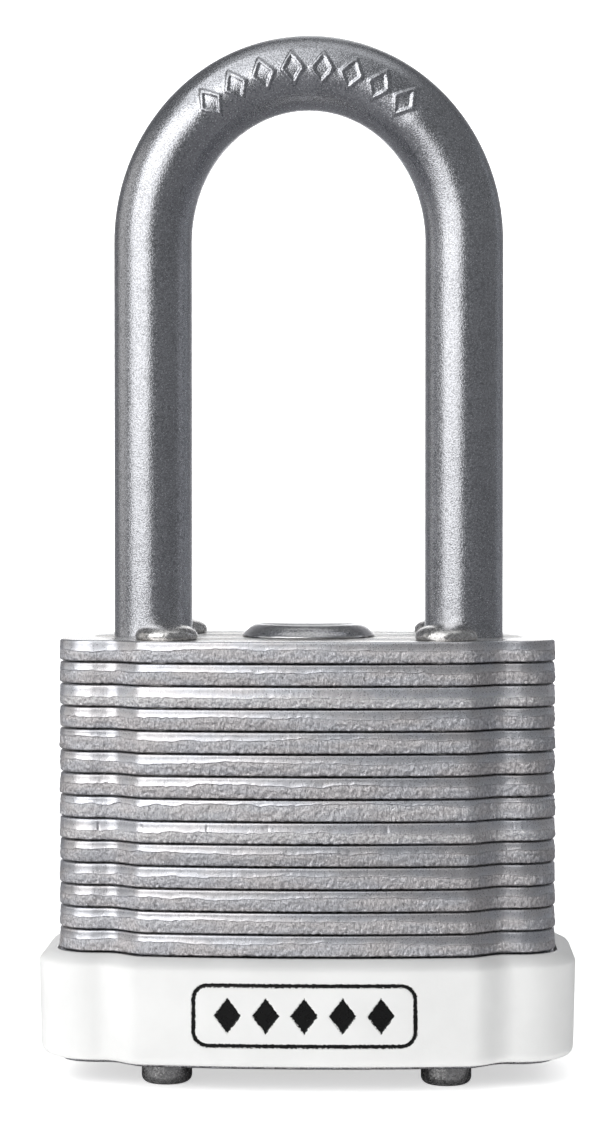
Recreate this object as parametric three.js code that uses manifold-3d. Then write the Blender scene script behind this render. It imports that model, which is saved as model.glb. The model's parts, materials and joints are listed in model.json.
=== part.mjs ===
// A laminated padlock with a long shackle: a stack of stamped steel plates on four rivets, a plastic
// bumper round the lowest plates, a pin tumbler cylinder, and a cam whose two dogs lock the shackle.
// Millimetres, +Z up, the front face towards -Y, the toe of the shackle at +X and its heel at -X.
// The closed lock stands on its rivet ends at z = 0. The plug rests at its open angle, dogs drawn in.
import * as THREE from 'three';
import { mergeVertices } from 'three/addons/utils/BufferGeometryUtils.js';
import Module from 'manifold-3d';

const manifold = await Module();
manifold.setup();

// ---------- driving dimensions ----------

// shackle
const SHACKLE_DIAMETER = 7.5;
const SHACKLE_GAP = 22;
const SHACKLE_CLEARANCE = 49.4; // from the top plate to the underside of the bow
const BOW_RISE = 1.05; // how much taller the bow is than a half circle
const NECK_DIAMETER = 4.2; // waist of the heel leg, where the retainer reaches in
const FOOT_LENGTH = 3; // full-size end below the waist
const NOTCH_FREE = 0.35; // between a thrown dog and the notch's bottom
const TOE_DEPTH_FREE = 1.3; // gap under the toe in its closed pocket
const TOE_FREE = 1; // gap under the toe when the shackle is up

// plate stack
const PLATE_COUNT = 19;
const PLATE_THICKNESS = 1.95;
const PLATE_GAP = 0.12;
const END_WALL = 4.55; // plate beyond each leg hole
const RIVET_EDGE_WALL = 1.3; // plate in front of each rivet hole
const HOLE_WEB = 0.5; // plate between a leg hole and a rivet hole
const CROWN = 1; // bulge of the long faces
const STEP_DEPTH = 2.3; // set-back of the narrow ends
const STEP_RUN = 3.6;
const SHOULDER_PAST_RIVET = 1.7;
const CORNER_RADIUS = 3.5;

// rivets and cap
const RIVET_DIAMETER = 4.7;
const RIVET_HEAD_OVERHANG = 0.55; // head beyond the shank, all round
const RIVET_HEAD_HEIGHT = 1.5;
const RIVET_STANDOFF = 2; // bare end below the lowest plate
const RIVET_ROUNDING = 0.6;
const RIVET_INSET = 1.75; // rivets sit nearer the middle than the legs
const CAP_DIAMETER = 12.6;
const CAP_FLAT_DIAMETER = 8.7;
const CAP_HEIGHT = 1.4;
const CAP_KNEE_INSET = 0.4; // where the cap's steep rim meets its flank
const CAP_KNEE_HEIGHT = 0.56;
const CAP_STEM_DIAMETER = 5;

// bumper
const BUMPER_WALL = 1.75;
const BUMPER_PLATES = 5; // plates that it wraps
const BUMPER_FOOT_GAP = 0.4; // lowest plate showing below it
const BUMPER_EDGE = 0.8;
const RIB_PLATE = 3; // the undersized plate that its inner rib snaps round
const RIB_DEPTH = 0.5;

// cylinder
const PLUG_RADIUS = 6;
const PLUG_FACE_STEP = 0.8; // how much narrower the plug is where it shows
const HOUSING_WALL = 1.85; // round the plug
const TOWER_WALL = 2; // beside the pin chambers
const COVER_THICKNESS = 0.9;
const KEYWAY_WIDTH = 2;
const KEYWAY_REACH = 4.4; // from the axis to the blade's back
const KEYWAY_TIP = 1.6; // from the axis towards the pins
const PIN_RADIUS = 1.3;
const PIN_POINT_RADIUS = 0.39;
const PIN_SPACING = 4.6;
const KEY_PIN_LENGTHS = [3.6, 4.5, 4, 4.9];
const DRIVER_LENGTH = 3.2;
const PIN_SPRING_LENGTH = 4.86; // behind a driver pin at the shear line
const PIN_TIP = 0.9;
const COLLAR_RADIUS = 4;
const GROOVE_DEPTH = 0.8;
const CLIP_THICKNESS = 0.8;
const CLIP_OVERLAP = 1.05; // clip beyond the plug's bore
const CLIP_OPENING = 5.12; // gap that lets the ring snap into the groove
const TAIL_LENGTH = 3.6;
const TAIL_WIDTH = 1.4;

// locking parts
const CAM_RADIUS = 6.6;
const FOLLOWER_RADIUS = 1;
const FOLLOWER_START = 3.4; // follower's distance from the axis with the dogs drawn in
const DOG_TRAVEL = 1.6;
const DOG_WIDTH = 4.4;
const DOG_BACK = 1.3; // from the axis to the dog's inner end
const DOG_FREE = 0.3; // between a drawn-in dog and the shackle
const SPRING_POCKET = 3.3;
const RETAINER_FREE = 0.21; // between the retainer and the next plate
const RETAINER_LENGTH = 9.4;
const SHACKLE_SPRING_RADIUS = 2.9;
const SHACKLE_SPRING_WIRE = 0.7;
const SHACKLE_SPRING_TURNS = 6;
const SMALL_SPRING_RADIUS = 0.9;
const SMALL_SPRING_WIRE = 0.32;
const PIN_SPRING_TURNS = 5;
const DOG_SPRING_TURNS = 9;

// clearances
const SLIP = 0.15; // round parts that turn or slide in a hole
const PLAY = 0.2; // flat-sided parts that slide
const FREE = 0.3; // parts that must pass each other
const SEAT = 0.04; // heads and covers lying on a plate

// facets
const BAR_SIDES = 20;
const BOW_STEPS = 24;
const RIVET_SIDES = 10;
const LEG_HOLE_SIDES = 12;
const BORE_SIDES = 24;
const CLIP_SIDES = 16;
const PIN_SIDES = 10;
const DOME_STEPS = 4;
const SPRING_STEPS = 9; // to a turn
const SPRING_SIDES = 5;
const SMALL_SPRING_STEPS = 7;
const SMALL_SPRING_SIDES = 4;

// how far a cutter reaches past what it cuts
const PAST = 1;

// ---------- dependent dimensions ----------

const quarterTurn = Math.PI / 2;
const pitch = PLATE_THICKNESS + PLATE_GAP;
const plateBottom = (number) => RIVET_STANDOFF + (number - 1) * pitch;
const plateTop = (number) => plateBottom(number) + PLATE_THICKNESS;
const bodyTop = plateTop(PLATE_COUNT);

// plates by their job, counted from the bottom
const HOUSING_FIRST = 2;
const HOUSING_LAST = 12;
const CLIP_PLATE = 13;
const COLLAR_PLATE = 14;
const CAM_PLATE = 15;
const DOG_FIRST = 16;
const DOG_LAST = 17;

const barRadius = SHACKLE_DIAMETER / 2;
const legX = (SHACKLE_GAP + SHACKLE_DIAMETER) / 2;
const legHoleRadius = barRadius + SLIP;
const bowHeight = legX + BOW_RISE;
const bowZ = bodyTop + SHACKLE_CLEARANCE + barRadius - bowHeight;

const rivetRadius = RIVET_DIAMETER / 2;
const rivetHeadRadius = rivetRadius + RIVET_HEAD_OVERHANG;
const rivetHoleRadius = rivetRadius + SLIP;
const rivetX = legX - RIVET_INSET;
const rivetY = legHoleRadius + HOLE_WEB + rivetHoleRadius;

const halfWidth = legX + legHoleRadius + END_WALL;
const shoulderX = rivetX + SHOULDER_PAST_RIVET;
const shoulderY = rivetY + rivetHoleRadius + RIVET_EDGE_WALL;
const halfDepth = shoulderY + CROWN;
const endHalfDepth = shoulderY - STEP_DEPTH;

const housingBottom = plateBottom(HOUSING_FIRST) + SEAT;
const housingTop = plateTop(HOUSING_LAST);
const boreRadius = PLUG_RADIUS + SLIP;
const housingRadius = boreRadius + HOUSING_WALL;
const plugFaceRadius = PLUG_RADIUS - PLUG_FACE_STEP;
const chamberRadius = PIN_RADIUS + SLIP;
const driverStart = boreRadius + SLIP;
const driverEnd = driverStart + DRIVER_LENGTH;
const towerReach = driverEnd + SEAT + PIN_SPRING_LENGTH;
const towerWidth = 2 * (chamberRadius + TOWER_WALL);
const coverStart = towerReach + SEAT;
const towerEnd = coverStart + COVER_THICKNESS;
const grooveBottom = housingTop + SLIP;
const grooveRadius = COLLAR_RADIUS - GROOVE_DEPTH;
const clipRadius = boreRadius + CLIP_OVERLAP;
const clipBottom = plateBottom(CLIP_PLATE) + SLIP;
const collarBottom = clipBottom + CLIP_THICKNESS + SLIP;
const camBottom = plateBottom(CAM_PLATE) + SLIP;
const camTop = plateTop(CAM_PLATE) - SLIP;
const collarTop = camBottom - FREE;

const dogBottom = plateBottom(DOG_FIRST) + SLIP;
const dogTop = plateTop(DOG_LAST) - SLIP;
const dogTip = legX - barRadius - DOG_FREE;
const notchBottom = dogBottom - FREE;
const notchTop = dogTop + FREE;
const notchDepth = DOG_TRAVEL - DOG_FREE + NOTCH_FREE;

const retainerBottom = plateBottom(CLIP_PLATE) + SEAT;
const retainerTop = plateTop(CLIP_PLATE) - RETAINER_FREE;
const retainerWidth = 2 * legHoleRadius;
const neckTop = retainerTop + FREE;
const toeEnd = plateTop(CLIP_PLATE) + TOE_DEPTH_FREE;
const lift = bodyTop - toeEnd + TOE_FREE;
const neckBottom = retainerBottom - lift - FREE;
const heelEnd = neckBottom - FOOT_LENGTH;

// ---------- geometry helpers ----------

// a closed geometry, with its shared corners merged, as a solid that can be cut
function solidOf(geometry) {
  const bare = geometry.clone();
  bare.deleteAttribute('normal');
  bare.deleteAttribute('uv');
  const merged = mergeVertices(bare, 1e-4);
  const vertProperties = new Float32Array(merged.attributes.position.array);
  const triVerts = new Uint32Array(merged.index.array);
  return new manifold.Manifold(new manifold.Mesh({ numProp: 3, vertProperties, triVerts }));
}

function geometryOf(solid) {
  const mesh = solid.getMesh();
  const geometry = new THREE.BufferGeometry();
  geometry.setAttribute('position', new THREE.BufferAttribute(mesh.vertProperties, 3));
  geometry.setIndex(new THREE.BufferAttribute(mesh.triVerts, 1));
  geometry.computeVertexNormals();
  return geometry;
}

function cut(geometry, ...tools) {
  let solid = solidOf(geometry);
  for (const tool of tools) {
    solid = solid.subtract(solidOf(tool));
  }
  return geometryOf(solid);
}

function join(geometry, ...others) {
  let solid = solidOf(geometry);
  for (const other of others) {
    solid = solid.add(solidOf(other));
  }
  return geometryOf(solid);
}

// a box between two corners
function block([x0, y0, z0], [x1, y1, z1]) {
  const box = new THREE.BoxGeometry(x1 - x0, y1 - y0, z1 - z0);
  return box.translate((x0 + x1) / 2, (y0 + y1) / 2, (z0 + z1) / 2);
}

// a round bar along Z
function bar(radius, bottom, top, sides = BORE_SIDES) {
  const cylinder = new THREE.CylinderGeometry(radius, radius, top - bottom, sides);
  return cylinder.rotateX(quarterTurn).translate(0, 0, (bottom + top) / 2);
}

// the radius whose polygon lies outside the circle, so that a shaft of that circle fits in
function around(radius, sides) {
  return radius / Math.cos(Math.PI / sides);
}

// a straight hole along Z, as the tool that cuts it
function bore(radius, bottom, top, sides = BORE_SIDES) {
  return bar(around(radius, sides), bottom, top, sides);
}

// a body turned round the Z axis, from [radius, height] points that run upwards along its outside
function turned(profile, sides = BORE_SIDES) {
  const points = profile.map(([radius, height]) => new THREE.Vector2(radius, height));
  return new THREE.LatheGeometry(points, sides).rotateX(quarterTurn);
}

function polygon(radius, sides, x = 0, y = 0) {
  const points = [];
  for (let i = 0; i < sides; i += 1) {
    const angle = (2 * Math.PI * (i + 0.5)) / sides;
    points.push(new THREE.Vector2(x + radius * Math.cos(angle), y + radius * Math.sin(angle)));
  }
  return points;
}

function extruded(shape, bottom, top) {
  const geometry = new THREE.ExtrudeGeometry(shape, { depth: top - bottom, bevelEnabled: false });
  return geometry.translate(0, 0, bottom);
}

// the centre line of an open-ended coil spring along Z
class Helix extends THREE.Curve {
  constructor(radius, bottom, top, turns) {
    super();
    Object.assign(this, { radius, bottom, top, turns });
  }

  getPoint(t, target = new THREE.Vector3()) {
    const angle = 2 * Math.PI * this.turns * t;
    const height = this.bottom + (this.top - this.bottom) * t;
    return target.set(this.radius * Math.cos(angle), this.radius * Math.sin(angle), height);
  }
}

function spring({ radius, wire, bottom, top, turns, steps, sides }) {
  const path = new Helix(radius, bottom + wire / 2, top - wire / 2, turns);
  const section = new THREE.Shape(polygon(wire / 2, sides));
  return new THREE.ExtrudeGeometry(section, { extrudePath: path, steps: turns * steps });
}

// ---------- the stack of plates ----------

// one quarter of the plate's edge, from the middle of the long face round to the end face
function quarterEdge(grow) {
  const SHOULDER_SHIFT = 0.4; // keeps the wall even along the slope of the step
  const STEP_POINTS = 4;
  const CORNER_POINTS = 3;
  const CROWN_SHARE = 0.37; // where the crown's one inner point lies
  const points = [];
  const crownX = shoulderX * CROWN_SHARE;
  points.push([crownX, halfDepth + grow - CROWN * CROWN_SHARE ** 2]);
  for (let i = 0; i <= STEP_POINTS; i += 1) {
    const t = i / STEP_POINTS;
    const ease = t * t * (3 - 2 * t);
    points.push([shoulderX + SHOULDER_SHIFT * grow + STEP_RUN * t, shoulderY + grow - STEP_DEPTH * ease]);
  }
  for (let i = 0; i <= CORNER_POINTS; i += 1) {
    const angle = quarterTurn * (1 - i / CORNER_POINTS);
    const radius = CORNER_RADIUS + grow;
    const x = halfWidth - CORNER_RADIUS + radius * Math.cos(angle);
    points.push([x, endHalfDepth - CORNER_RADIUS + radius * Math.sin(angle)]);
  }
  return points;
}

// the plate's outline, moved outwards by grow
function outline(grow) {
  const edge = quarterEdge(grow);
  const back = [...edge].reverse();
  const points = [
    ...back,
    ...edge.map(([x, y]) => [-x, y]),
    ...back.map(([x, y]) => [-x, -y]),
    ...edge.map(([x, y]) => [x, -y]),
  ];
  return new THREE.Shape(points.map(([x, y]) => new THREE.Vector2(x, y)));
}

const rivetPlaces = [
  ['front_left', -rivetX, -rivetY],
  ['front_right', rivetX, -rivetY],
  ['back_left', -rivetX, rivetY],
  ['back_right', rivetX, rivetY],
];

function addHole(shape, x, y, radius, sides) {
  shape.holes.push(new THREE.Path(polygon(around(radius, sides), sides, x, y)));
}

// the housing's seat: a round hole with a bay for the pin tower
function housingSeat() {
  const radius = around(housingRadius + SLIP, BORE_SIDES);
  const half = towerWidth / 2 + PLAY;
  const start = Math.asin(half / radius);
  const ARC_STEPS = 16;
  const points = [new THREE.Vector2(towerEnd + SLIP, -half), new THREE.Vector2(towerEnd + SLIP, half)];
  for (let i = 0; i <= ARC_STEPS; i += 1) {
    const angle = start + (2 * (Math.PI - start) * i) / ARC_STEPS;
    points.push(new THREE.Vector2(radius * Math.cos(angle), radius * Math.sin(angle)));
  }
  return new THREE.Path(points);
}

function retainerPocket() {
  const halfLength = RETAINER_LENGTH / 2 + PLAY;
  const halfWidthOfPocket = retainerWidth / 2 + SLIP;
  const corner = (x, y) => new THREE.Vector2(-legX + x * halfLength, y * halfWidthOfPocket);
  return new THREE.Path([corner(-1, -1), corner(1, -1), corner(1, 1), corner(-1, 1)]);
}

function plate(number) {
  const shape = outline(number === RIB_PLATE ? -RIB_DEPTH : 0);
  for (const [, x, y] of rivetPlaces) {
    addHole(shape, x, y, rivetHoleRadius, RIVET_SIDES);
  }
  if (number < HOUSING_FIRST) {
    addHole(shape, 0, 0, plugFaceRadius + SLIP, BORE_SIDES);
  } else if (number <= HOUSING_LAST) {
    shape.holes.push(housingSeat());
  } else if (number === CLIP_PLATE) {
    addHole(shape, 0, 0, clipRadius + FREE, BORE_SIDES);
    shape.holes.push(retainerPocket());
  } else if (number === COLLAR_PLATE) {
    addHole(shape, 0, 0, COLLAR_RADIUS + SLIP, BORE_SIDES);
  } else if (number === CAM_PLATE) {
    addHole(shape, 0, 0, CAM_RADIUS + SLIP, BORE_SIDES);
  } else if (number > DOG_LAST) {
    addHole(shape, 0, 0, CAP_STEM_DIAMETER / 2 + SLIP, LEG_HOLE_SIDES);
  }
  if (number >= HOUSING_FIRST && number !== CLIP_PLATE) {
    addHole(shape, -legX, 0, legHoleRadius, LEG_HOLE_SIDES);
  }
  if (number > CLIP_PLATE) {
    addHole(shape, legX, 0, legHoleRadius, LEG_HOLE_SIDES);
  }
  const geometry = extruded(shape, plateBottom(number), plateTop(number));
  if (number < DOG_FIRST || number > DOG_LAST) {
    return geometry;
  }
  const half = DOG_WIDTH / 2 + PLAY;
  const channel = block(
    [-legX, -half, plateBottom(number) - PAST],
    [legX, half, plateTop(number) + PAST],
  );
  return cut(geometry, channel);
}

// ---------- rivets, cap and bumper ----------

function rivet() {
  const seat = bodyTop + SEAT;
  const profile = [
    [0, 0],
    [rivetRadius - RIVET_ROUNDING, 0],
    [rivetRadius, RIVET_ROUNDING],
    [rivetRadius, seat],
  ];
  for (let i = 0; i <= DOME_STEPS; i += 1) {
    const angle = (quarterTurn * i) / DOME_STEPS;
    profile.push([rivetHeadRadius * Math.cos(angle), seat + RIVET_HEAD_HEIGHT * Math.sin(angle)]);
  }
  return turned(profile, RIVET_SIDES);
}

function topCap() {
  const seat = bodyTop + SEAT;
  const stem = CAP_STEM_DIAMETER / 2;
  return turned([
    [0, dogTop + FREE],
    [stem, dogTop + FREE],
    [stem, seat],
    [CAP_DIAMETER / 2, seat],
    [CAP_DIAMETER / 2 - CAP_KNEE_INSET, seat + CAP_KNEE_HEIGHT],
    [CAP_FLAT_DIAMETER / 2, seat + CAP_HEIGHT],
    [0, seat + CAP_HEIGHT],
  ]);
}

function bumper() {
  const bottom = plateBottom(1) + BUMPER_FOOT_GAP;
  const top = plateTop(BUMPER_PLATES);
  const shape = outline(SLIP + BUMPER_WALL - BUMPER_EDGE);
  const ring = new THREE.ExtrudeGeometry(shape, {
    depth: top - bottom - 2 * BUMPER_EDGE,
    bevelThickness: BUMPER_EDGE,
    bevelSize: BUMPER_EDGE,
    bevelSegments: 2,
  }).translate(0, 0, bottom + BUMPER_EDGE);
  const through = extruded(outline(SLIP - RIB_DEPTH), bottom - PAST, top + PAST);
  const below = extruded(outline(SLIP), bottom - PAST, plateBottom(RIB_PLATE) + SLIP);
  const above = extruded(outline(SLIP), plateTop(RIB_PLATE) - SLIP, top + PAST);
  return cut(ring, through, below, above);
}

// ---------- the shackle ----------

// up the toe leg, over the bow and down the heel leg; each leg is one step
class ShacklePath extends THREE.Curve {
  getUtoTmapping(u) {
    return u;
  }

  getPoint(t, target = new THREE.Vector3()) {
    const step = t * (BOW_STEPS + 2);
    if (step <= 1) {
      return target.set(legX, 0, toeEnd + (bowZ - toeEnd) * step);
    }
    if (step >= BOW_STEPS + 1) {
      return target.set(-legX, 0, bowZ + (heelEnd - bowZ) * (step - BOW_STEPS - 1));
    }
    const angle = (Math.PI * (step - 1)) / BOW_STEPS;
    return target.set(legX * Math.cos(angle), 0, bowZ + bowHeight * Math.sin(angle));
  }

  getTangent(t, target = new THREE.Vector3()) {
    const step = t * (BOW_STEPS + 2);
    const angle = Math.PI * Math.min(Math.max((step - 1) / BOW_STEPS, 0), 1);
    return target.set(-legX * Math.sin(angle), 0, bowHeight * Math.cos(angle)).normalize();
  }
}

function shackle() {
  const section = new THREE.Shape(polygon(barRadius, BAR_SIDES));
  const rod = new THREE.ExtrudeGeometry(section, { extrudePath: new ShacklePath(), steps: BOW_STEPS + 2 });
  const waist = cut(
    bar(barRadius + PAST, neckBottom, neckTop),
    bar(NECK_DIAMETER / 2, neckBottom - PAST, neckTop + PAST),
  ).translate(-legX, 0, 0);
  const inner = legX - barRadius;
  const notches = [-1, 1].map((side) => {
    const xs = [side * (inner - PAST), side * (inner + notchDepth)].sort((a, b) => a - b);
    return block([xs[0], -barRadius - PAST, notchBottom], [xs[1], barRadius + PAST, notchTop]);
  });
  return cut(rod, waist, ...notches);
}

function heelRetainer() {
  const end = RETAINER_LENGTH / 2;
  const side = retainerWidth / 2;
  const slot = NECK_DIAMETER / 2 + PLAY;
  const corners = [
    [-end, -side],
    [end, -side],
    [end, side],
    [-end, side],
    [-end, slot],
    [slot, slot],
    [slot, -slot],
    [-end, -slot],
  ];
  const shape = new THREE.Shape(corners.map(([x, y]) => new THREE.Vector2(x - legX, y)));
  return extruded(shape, retainerBottom, retainerTop);
}

// ---------- the cylinder ----------

const housingMiddle = (housingBottom + housingTop) / 2;
const pinHeights = KEY_PIN_LENGTHS.map(
  (length, i) => housingMiddle + (i - (KEY_PIN_LENGTHS.length - 1) / 2) * PIN_SPACING,
);

// a body made along Z, laid along +X at a height, starting at the axis
function alongX(geometry, height) {
  return geometry.rotateY(quarterTurn).translate(0, 0, height);
}

// a body made along Z, laid along -Y at a height, starting at the axis
function alongFront(geometry, height) {
  return geometry.rotateX(quarterTurn).translate(0, 0, height);
}

function housing() {
  const half = towerWidth / 2;
  const body = join(
    bar(housingRadius, housingBottom, housingTop),
    block([0, -half, housingBottom], [towerReach, half, housingTop]),
  );
  const chambers = pinHeights.map((height) => {
    const drill = bore(chamberRadius, PLUG_RADIUS - PAST, towerReach + PAST, PIN_SIDES);
    return alongX(drill, height);
  });
  return cut(body, bore(boreRadius, housingBottom - PAST, housingTop + PAST), ...chambers);
}

function springCover() {
  const half = towerWidth / 2;
  return block([coverStart, -half, housingBottom], [towerEnd, half, housingTop]);
}

function plug() {
  const bottom = plateTop(1) + SLIP;
  const body = turned([
    [0, plateBottom(1) + FREE],
    [plugFaceRadius, plateBottom(1) + FREE],
    [plugFaceRadius, bottom],
    [PLUG_RADIUS, bottom],
    [PLUG_RADIUS, grooveBottom],
    [grooveRadius, grooveBottom],
    [grooveRadius, collarBottom],
    [COLLAR_RADIUS, collarBottom],
    [COLLAR_RADIUS, collarTop],
    [0, collarTop],
  ]);
  const tail = block(
    [-TAIL_WIDTH / 2, -TAIL_LENGTH / 2, collarTop - PAST],
    [TAIL_WIDTH / 2, TAIL_LENGTH / 2, camTop],
  );
  const keyway = block(
    [-KEYWAY_WIDTH / 2, -KEYWAY_TIP, plateBottom(1) - PAST],
    [KEYWAY_WIDTH / 2, KEYWAY_REACH, grooveBottom - PAST],
  );
  const chambers = pinHeights.map((height) => {
    const drill = bore(chamberRadius, 0, PLUG_RADIUS + PAST, PIN_SIDES);
    return alongFront(drill, height);
  });
  return cut(join(body, tail), keyway, ...chambers);
}

function plugClip() {
  const half = CLIP_OPENING / 2;
  return cut(
    bar(clipRadius, clipBottom, clipBottom + CLIP_THICKNESS, CLIP_SIDES),
    bore(grooveRadius + SLIP, clipBottom - PAST, collarBottom + PAST, CLIP_SIDES),
    block([-clipRadius - PAST, -half, clipBottom - PAST], [0, half, collarBottom + PAST]),
  );
}

function keyPin(length) {
  const outer = PLUG_RADIUS - SLIP;
  const inner = outer - length;
  return turned([
    [0, inner],
    [PIN_POINT_RADIUS, inner],
    [PIN_RADIUS, inner + PIN_TIP],
    [PIN_RADIUS, outer],
    [0, outer],
  ], PIN_SIDES);
}

function driverPin() {
  return bar(PIN_RADIUS, driverStart, driverEnd, PIN_SIDES);
}

function pinSpring() {
  return spring({
    radius: SMALL_SPRING_RADIUS,
    wire: SMALL_SPRING_WIRE,
    bottom: driverEnd + SEAT,
    top: towerReach,
    turns: PIN_SPRING_TURNS,
    steps: SMALL_SPRING_STEPS,
    sides: SMALL_SPRING_SIDES,
  });
}

// ---------- cam and dogs ----------

// a spiral slot that draws a follower outwards by the dogs' travel in a quarter turn
function spiralSlot(phase) {
  const STEPS = 6;
  const END_STEPS = 3;
  const half = FOLLOWER_RADIUS + SLIP;
  const centre = (share) => {
    const radius = FOLLOWER_START + DOG_TRAVEL * share;
    const angle = phase - quarterTurn * share;
    return [radius * Math.cos(angle), radius * Math.sin(angle), angle];
  };
  const outer = [];
  const inner = [];
  for (let i = 0; i <= STEPS; i += 1) {
    const [x, y, angle] = centre(i / STEPS);
    outer.push(new THREE.Vector2(x + half * Math.cos(angle), y + half * Math.sin(angle)));
    inner.push(new THREE.Vector2(x - half * Math.cos(angle), y - half * Math.sin(angle)));
  }
  const roundEnd = (share, from) => {
    const [x, y, angle] = centre(share);
    const points = [];
    for (let i = 1; i < END_STEPS; i += 1) {
      const turn = angle + from - (Math.PI * i) / END_STEPS;
      points.push(new THREE.Vector2(x + half * Math.cos(turn), y + half * Math.sin(turn)));
    }
    return points;
  };
  const first = roundEnd(0, Math.PI);
  const last = roundEnd(1, 0);
  return new THREE.Path([...outer, ...last, ...inner.reverse(), ...first]);
}

function cam() {
  const shape = new THREE.Shape(polygon(CAM_RADIUS, BORE_SIDES));
  shape.holes.push(spiralSlot(0), spiralSlot(Math.PI));
  const x = TAIL_WIDTH / 2 + SLIP;
  const y = TAIL_LENGTH / 2 + SLIP;
  const socket = [[-x, -y], [x, -y], [x, y], [-x, y]];
  shape.holes.push(new THREE.Path(socket.map(([px, py]) => new THREE.Vector2(px, py))));
  return extruded(shape, camBottom, camTop);
}

// the dog at +X; the other is the same piece turned half round
function dog() {
  const half = DOG_WIDTH / 2;
  const FOLLOWER_SIDES = 12;
  const body = block([DOG_BACK, -half, dogBottom], [dogTip, half, dogTop]);
  const follower = bar(FOLLOWER_RADIUS, camBottom + SLIP, dogBottom + PAST, FOLLOWER_SIDES);
  const pocketRadius = SMALL_SPRING_RADIUS + SMALL_SPRING_WIRE;
  const pocket = bar(pocketRadius, DOG_BACK - PAST, DOG_BACK + SPRING_POCKET, PIN_SIDES);
  return cut(
    join(body, follower.translate(FOLLOWER_START, 0, 0)),
    alongX(pocket, (dogBottom + dogTop) / 2),
  );
}

function dogSpring() {
  const end = DOG_BACK + SPRING_POCKET - SEAT;
  const coil = spring({
    radius: SMALL_SPRING_RADIUS - SLIP,
    wire: SMALL_SPRING_WIRE,
    bottom: -end,
    top: end,
    turns: DOG_SPRING_TURNS,
    steps: SMALL_SPRING_STEPS,
    sides: SMALL_SPRING_SIDES,
  });
  return alongX(coil, (dogBottom + dogTop) / 2);
}

function shackleSpring() {
  return spring({
    radius: SHACKLE_SPRING_RADIUS,
    wire: SHACKLE_SPRING_WIRE,
    bottom: plateTop(1) + SEAT,
    top: heelEnd - SEAT,
    turns: SHACKLE_SPRING_TURNS,
    steps: SPRING_STEPS,
    sides: SPRING_SIDES,
  }).translate(-legX, 0, 0);
}

// ---------- materials ----------

function finish(color, roughness, metalness) {
  return new THREE.MeshStandardMaterial({ color, roughness, metalness });
}

const plateSteel = finish(0x9a9a9c, 0.42, 0.9);
const shackleSteel = finish(0x9ea0a6, 0.3, 0.95);
const brightSteel = finish(0xc4c6ca, 0.2, 1);
const rivetSteel = finish(0x8f9093, 0.38, 0.95);
const springSteel = finish(0x7c7f86, 0.3, 1);
const innerSteel = finish(0x85878c, 0.4, 0.95);
const brass = finish(0xb8924a, 0.32, 1);
const whitePlastic = finish(0xf1f1ef, 0.5, 0);

// ---------- the assembly ----------

const padlock = new THREE.Group();

function place(name, geometry, material) {
  const mesh = new THREE.Mesh(geometry, material);
  mesh.name = name;
  padlock.add(mesh);
  return mesh;
}

for (let number = 1; number <= PLATE_COUNT; number += 1) {
  place(`plate_${String(number).padStart(2, '0')}`, plate(number), plateSteel);
}
for (const [where, x, y] of rivetPlaces) {
  place(`rivet_${where}`, rivet(), rivetSteel).position.set(x, y, 0);
}
place('top_cap', topCap(), brightSteel);
place('bumper', bumper(), whitePlastic);

place('shackle', shackle(), shackleSteel);
place('shackle_spring', shackleSpring(), springSteel);
place('heel_retainer', heelRetainer(), innerSteel);

place('cylinder_housing', housing(), brass);
place('spring_cover', springCover(), brass);
place('plug', plug(), brass);
place('plug_clip', plugClip(), springSteel);
pinHeights.forEach((height, i) => {
  place(`key_pin_${i + 1}`, alongFront(keyPin(KEY_PIN_LENGTHS[i]), height), brass);
  place(`driver_pin_${i + 1}`, alongX(driverPin(), height), brass);
  place(`pin_spring_${i + 1}`, alongX(pinSpring(), height), springSteel);
});

place('cam', cam(), innerSteel);
place('toe_dog', dog(), innerSteel);
place('heel_dog', dog(), innerSteel).rotation.z = Math.PI;
place('dog_spring', dogSpring(), springSteel);

export default padlock;
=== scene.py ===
"""The looks of a laminated padlock, laid out as a Blender add-on and run as a script.

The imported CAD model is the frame. Each operator makes one piece or one group of like pieces as
parametric surfaces in numpy, in metres in the frame's own axes, and hangs it on its CAD body.
"""

import json
import math

import bpy
import numpy as np
from bpy.props import FloatProperty, FloatVectorProperty, IntProperty, PointerProperty
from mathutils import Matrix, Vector
from mathutils.geometry import tessellate_polygon

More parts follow.
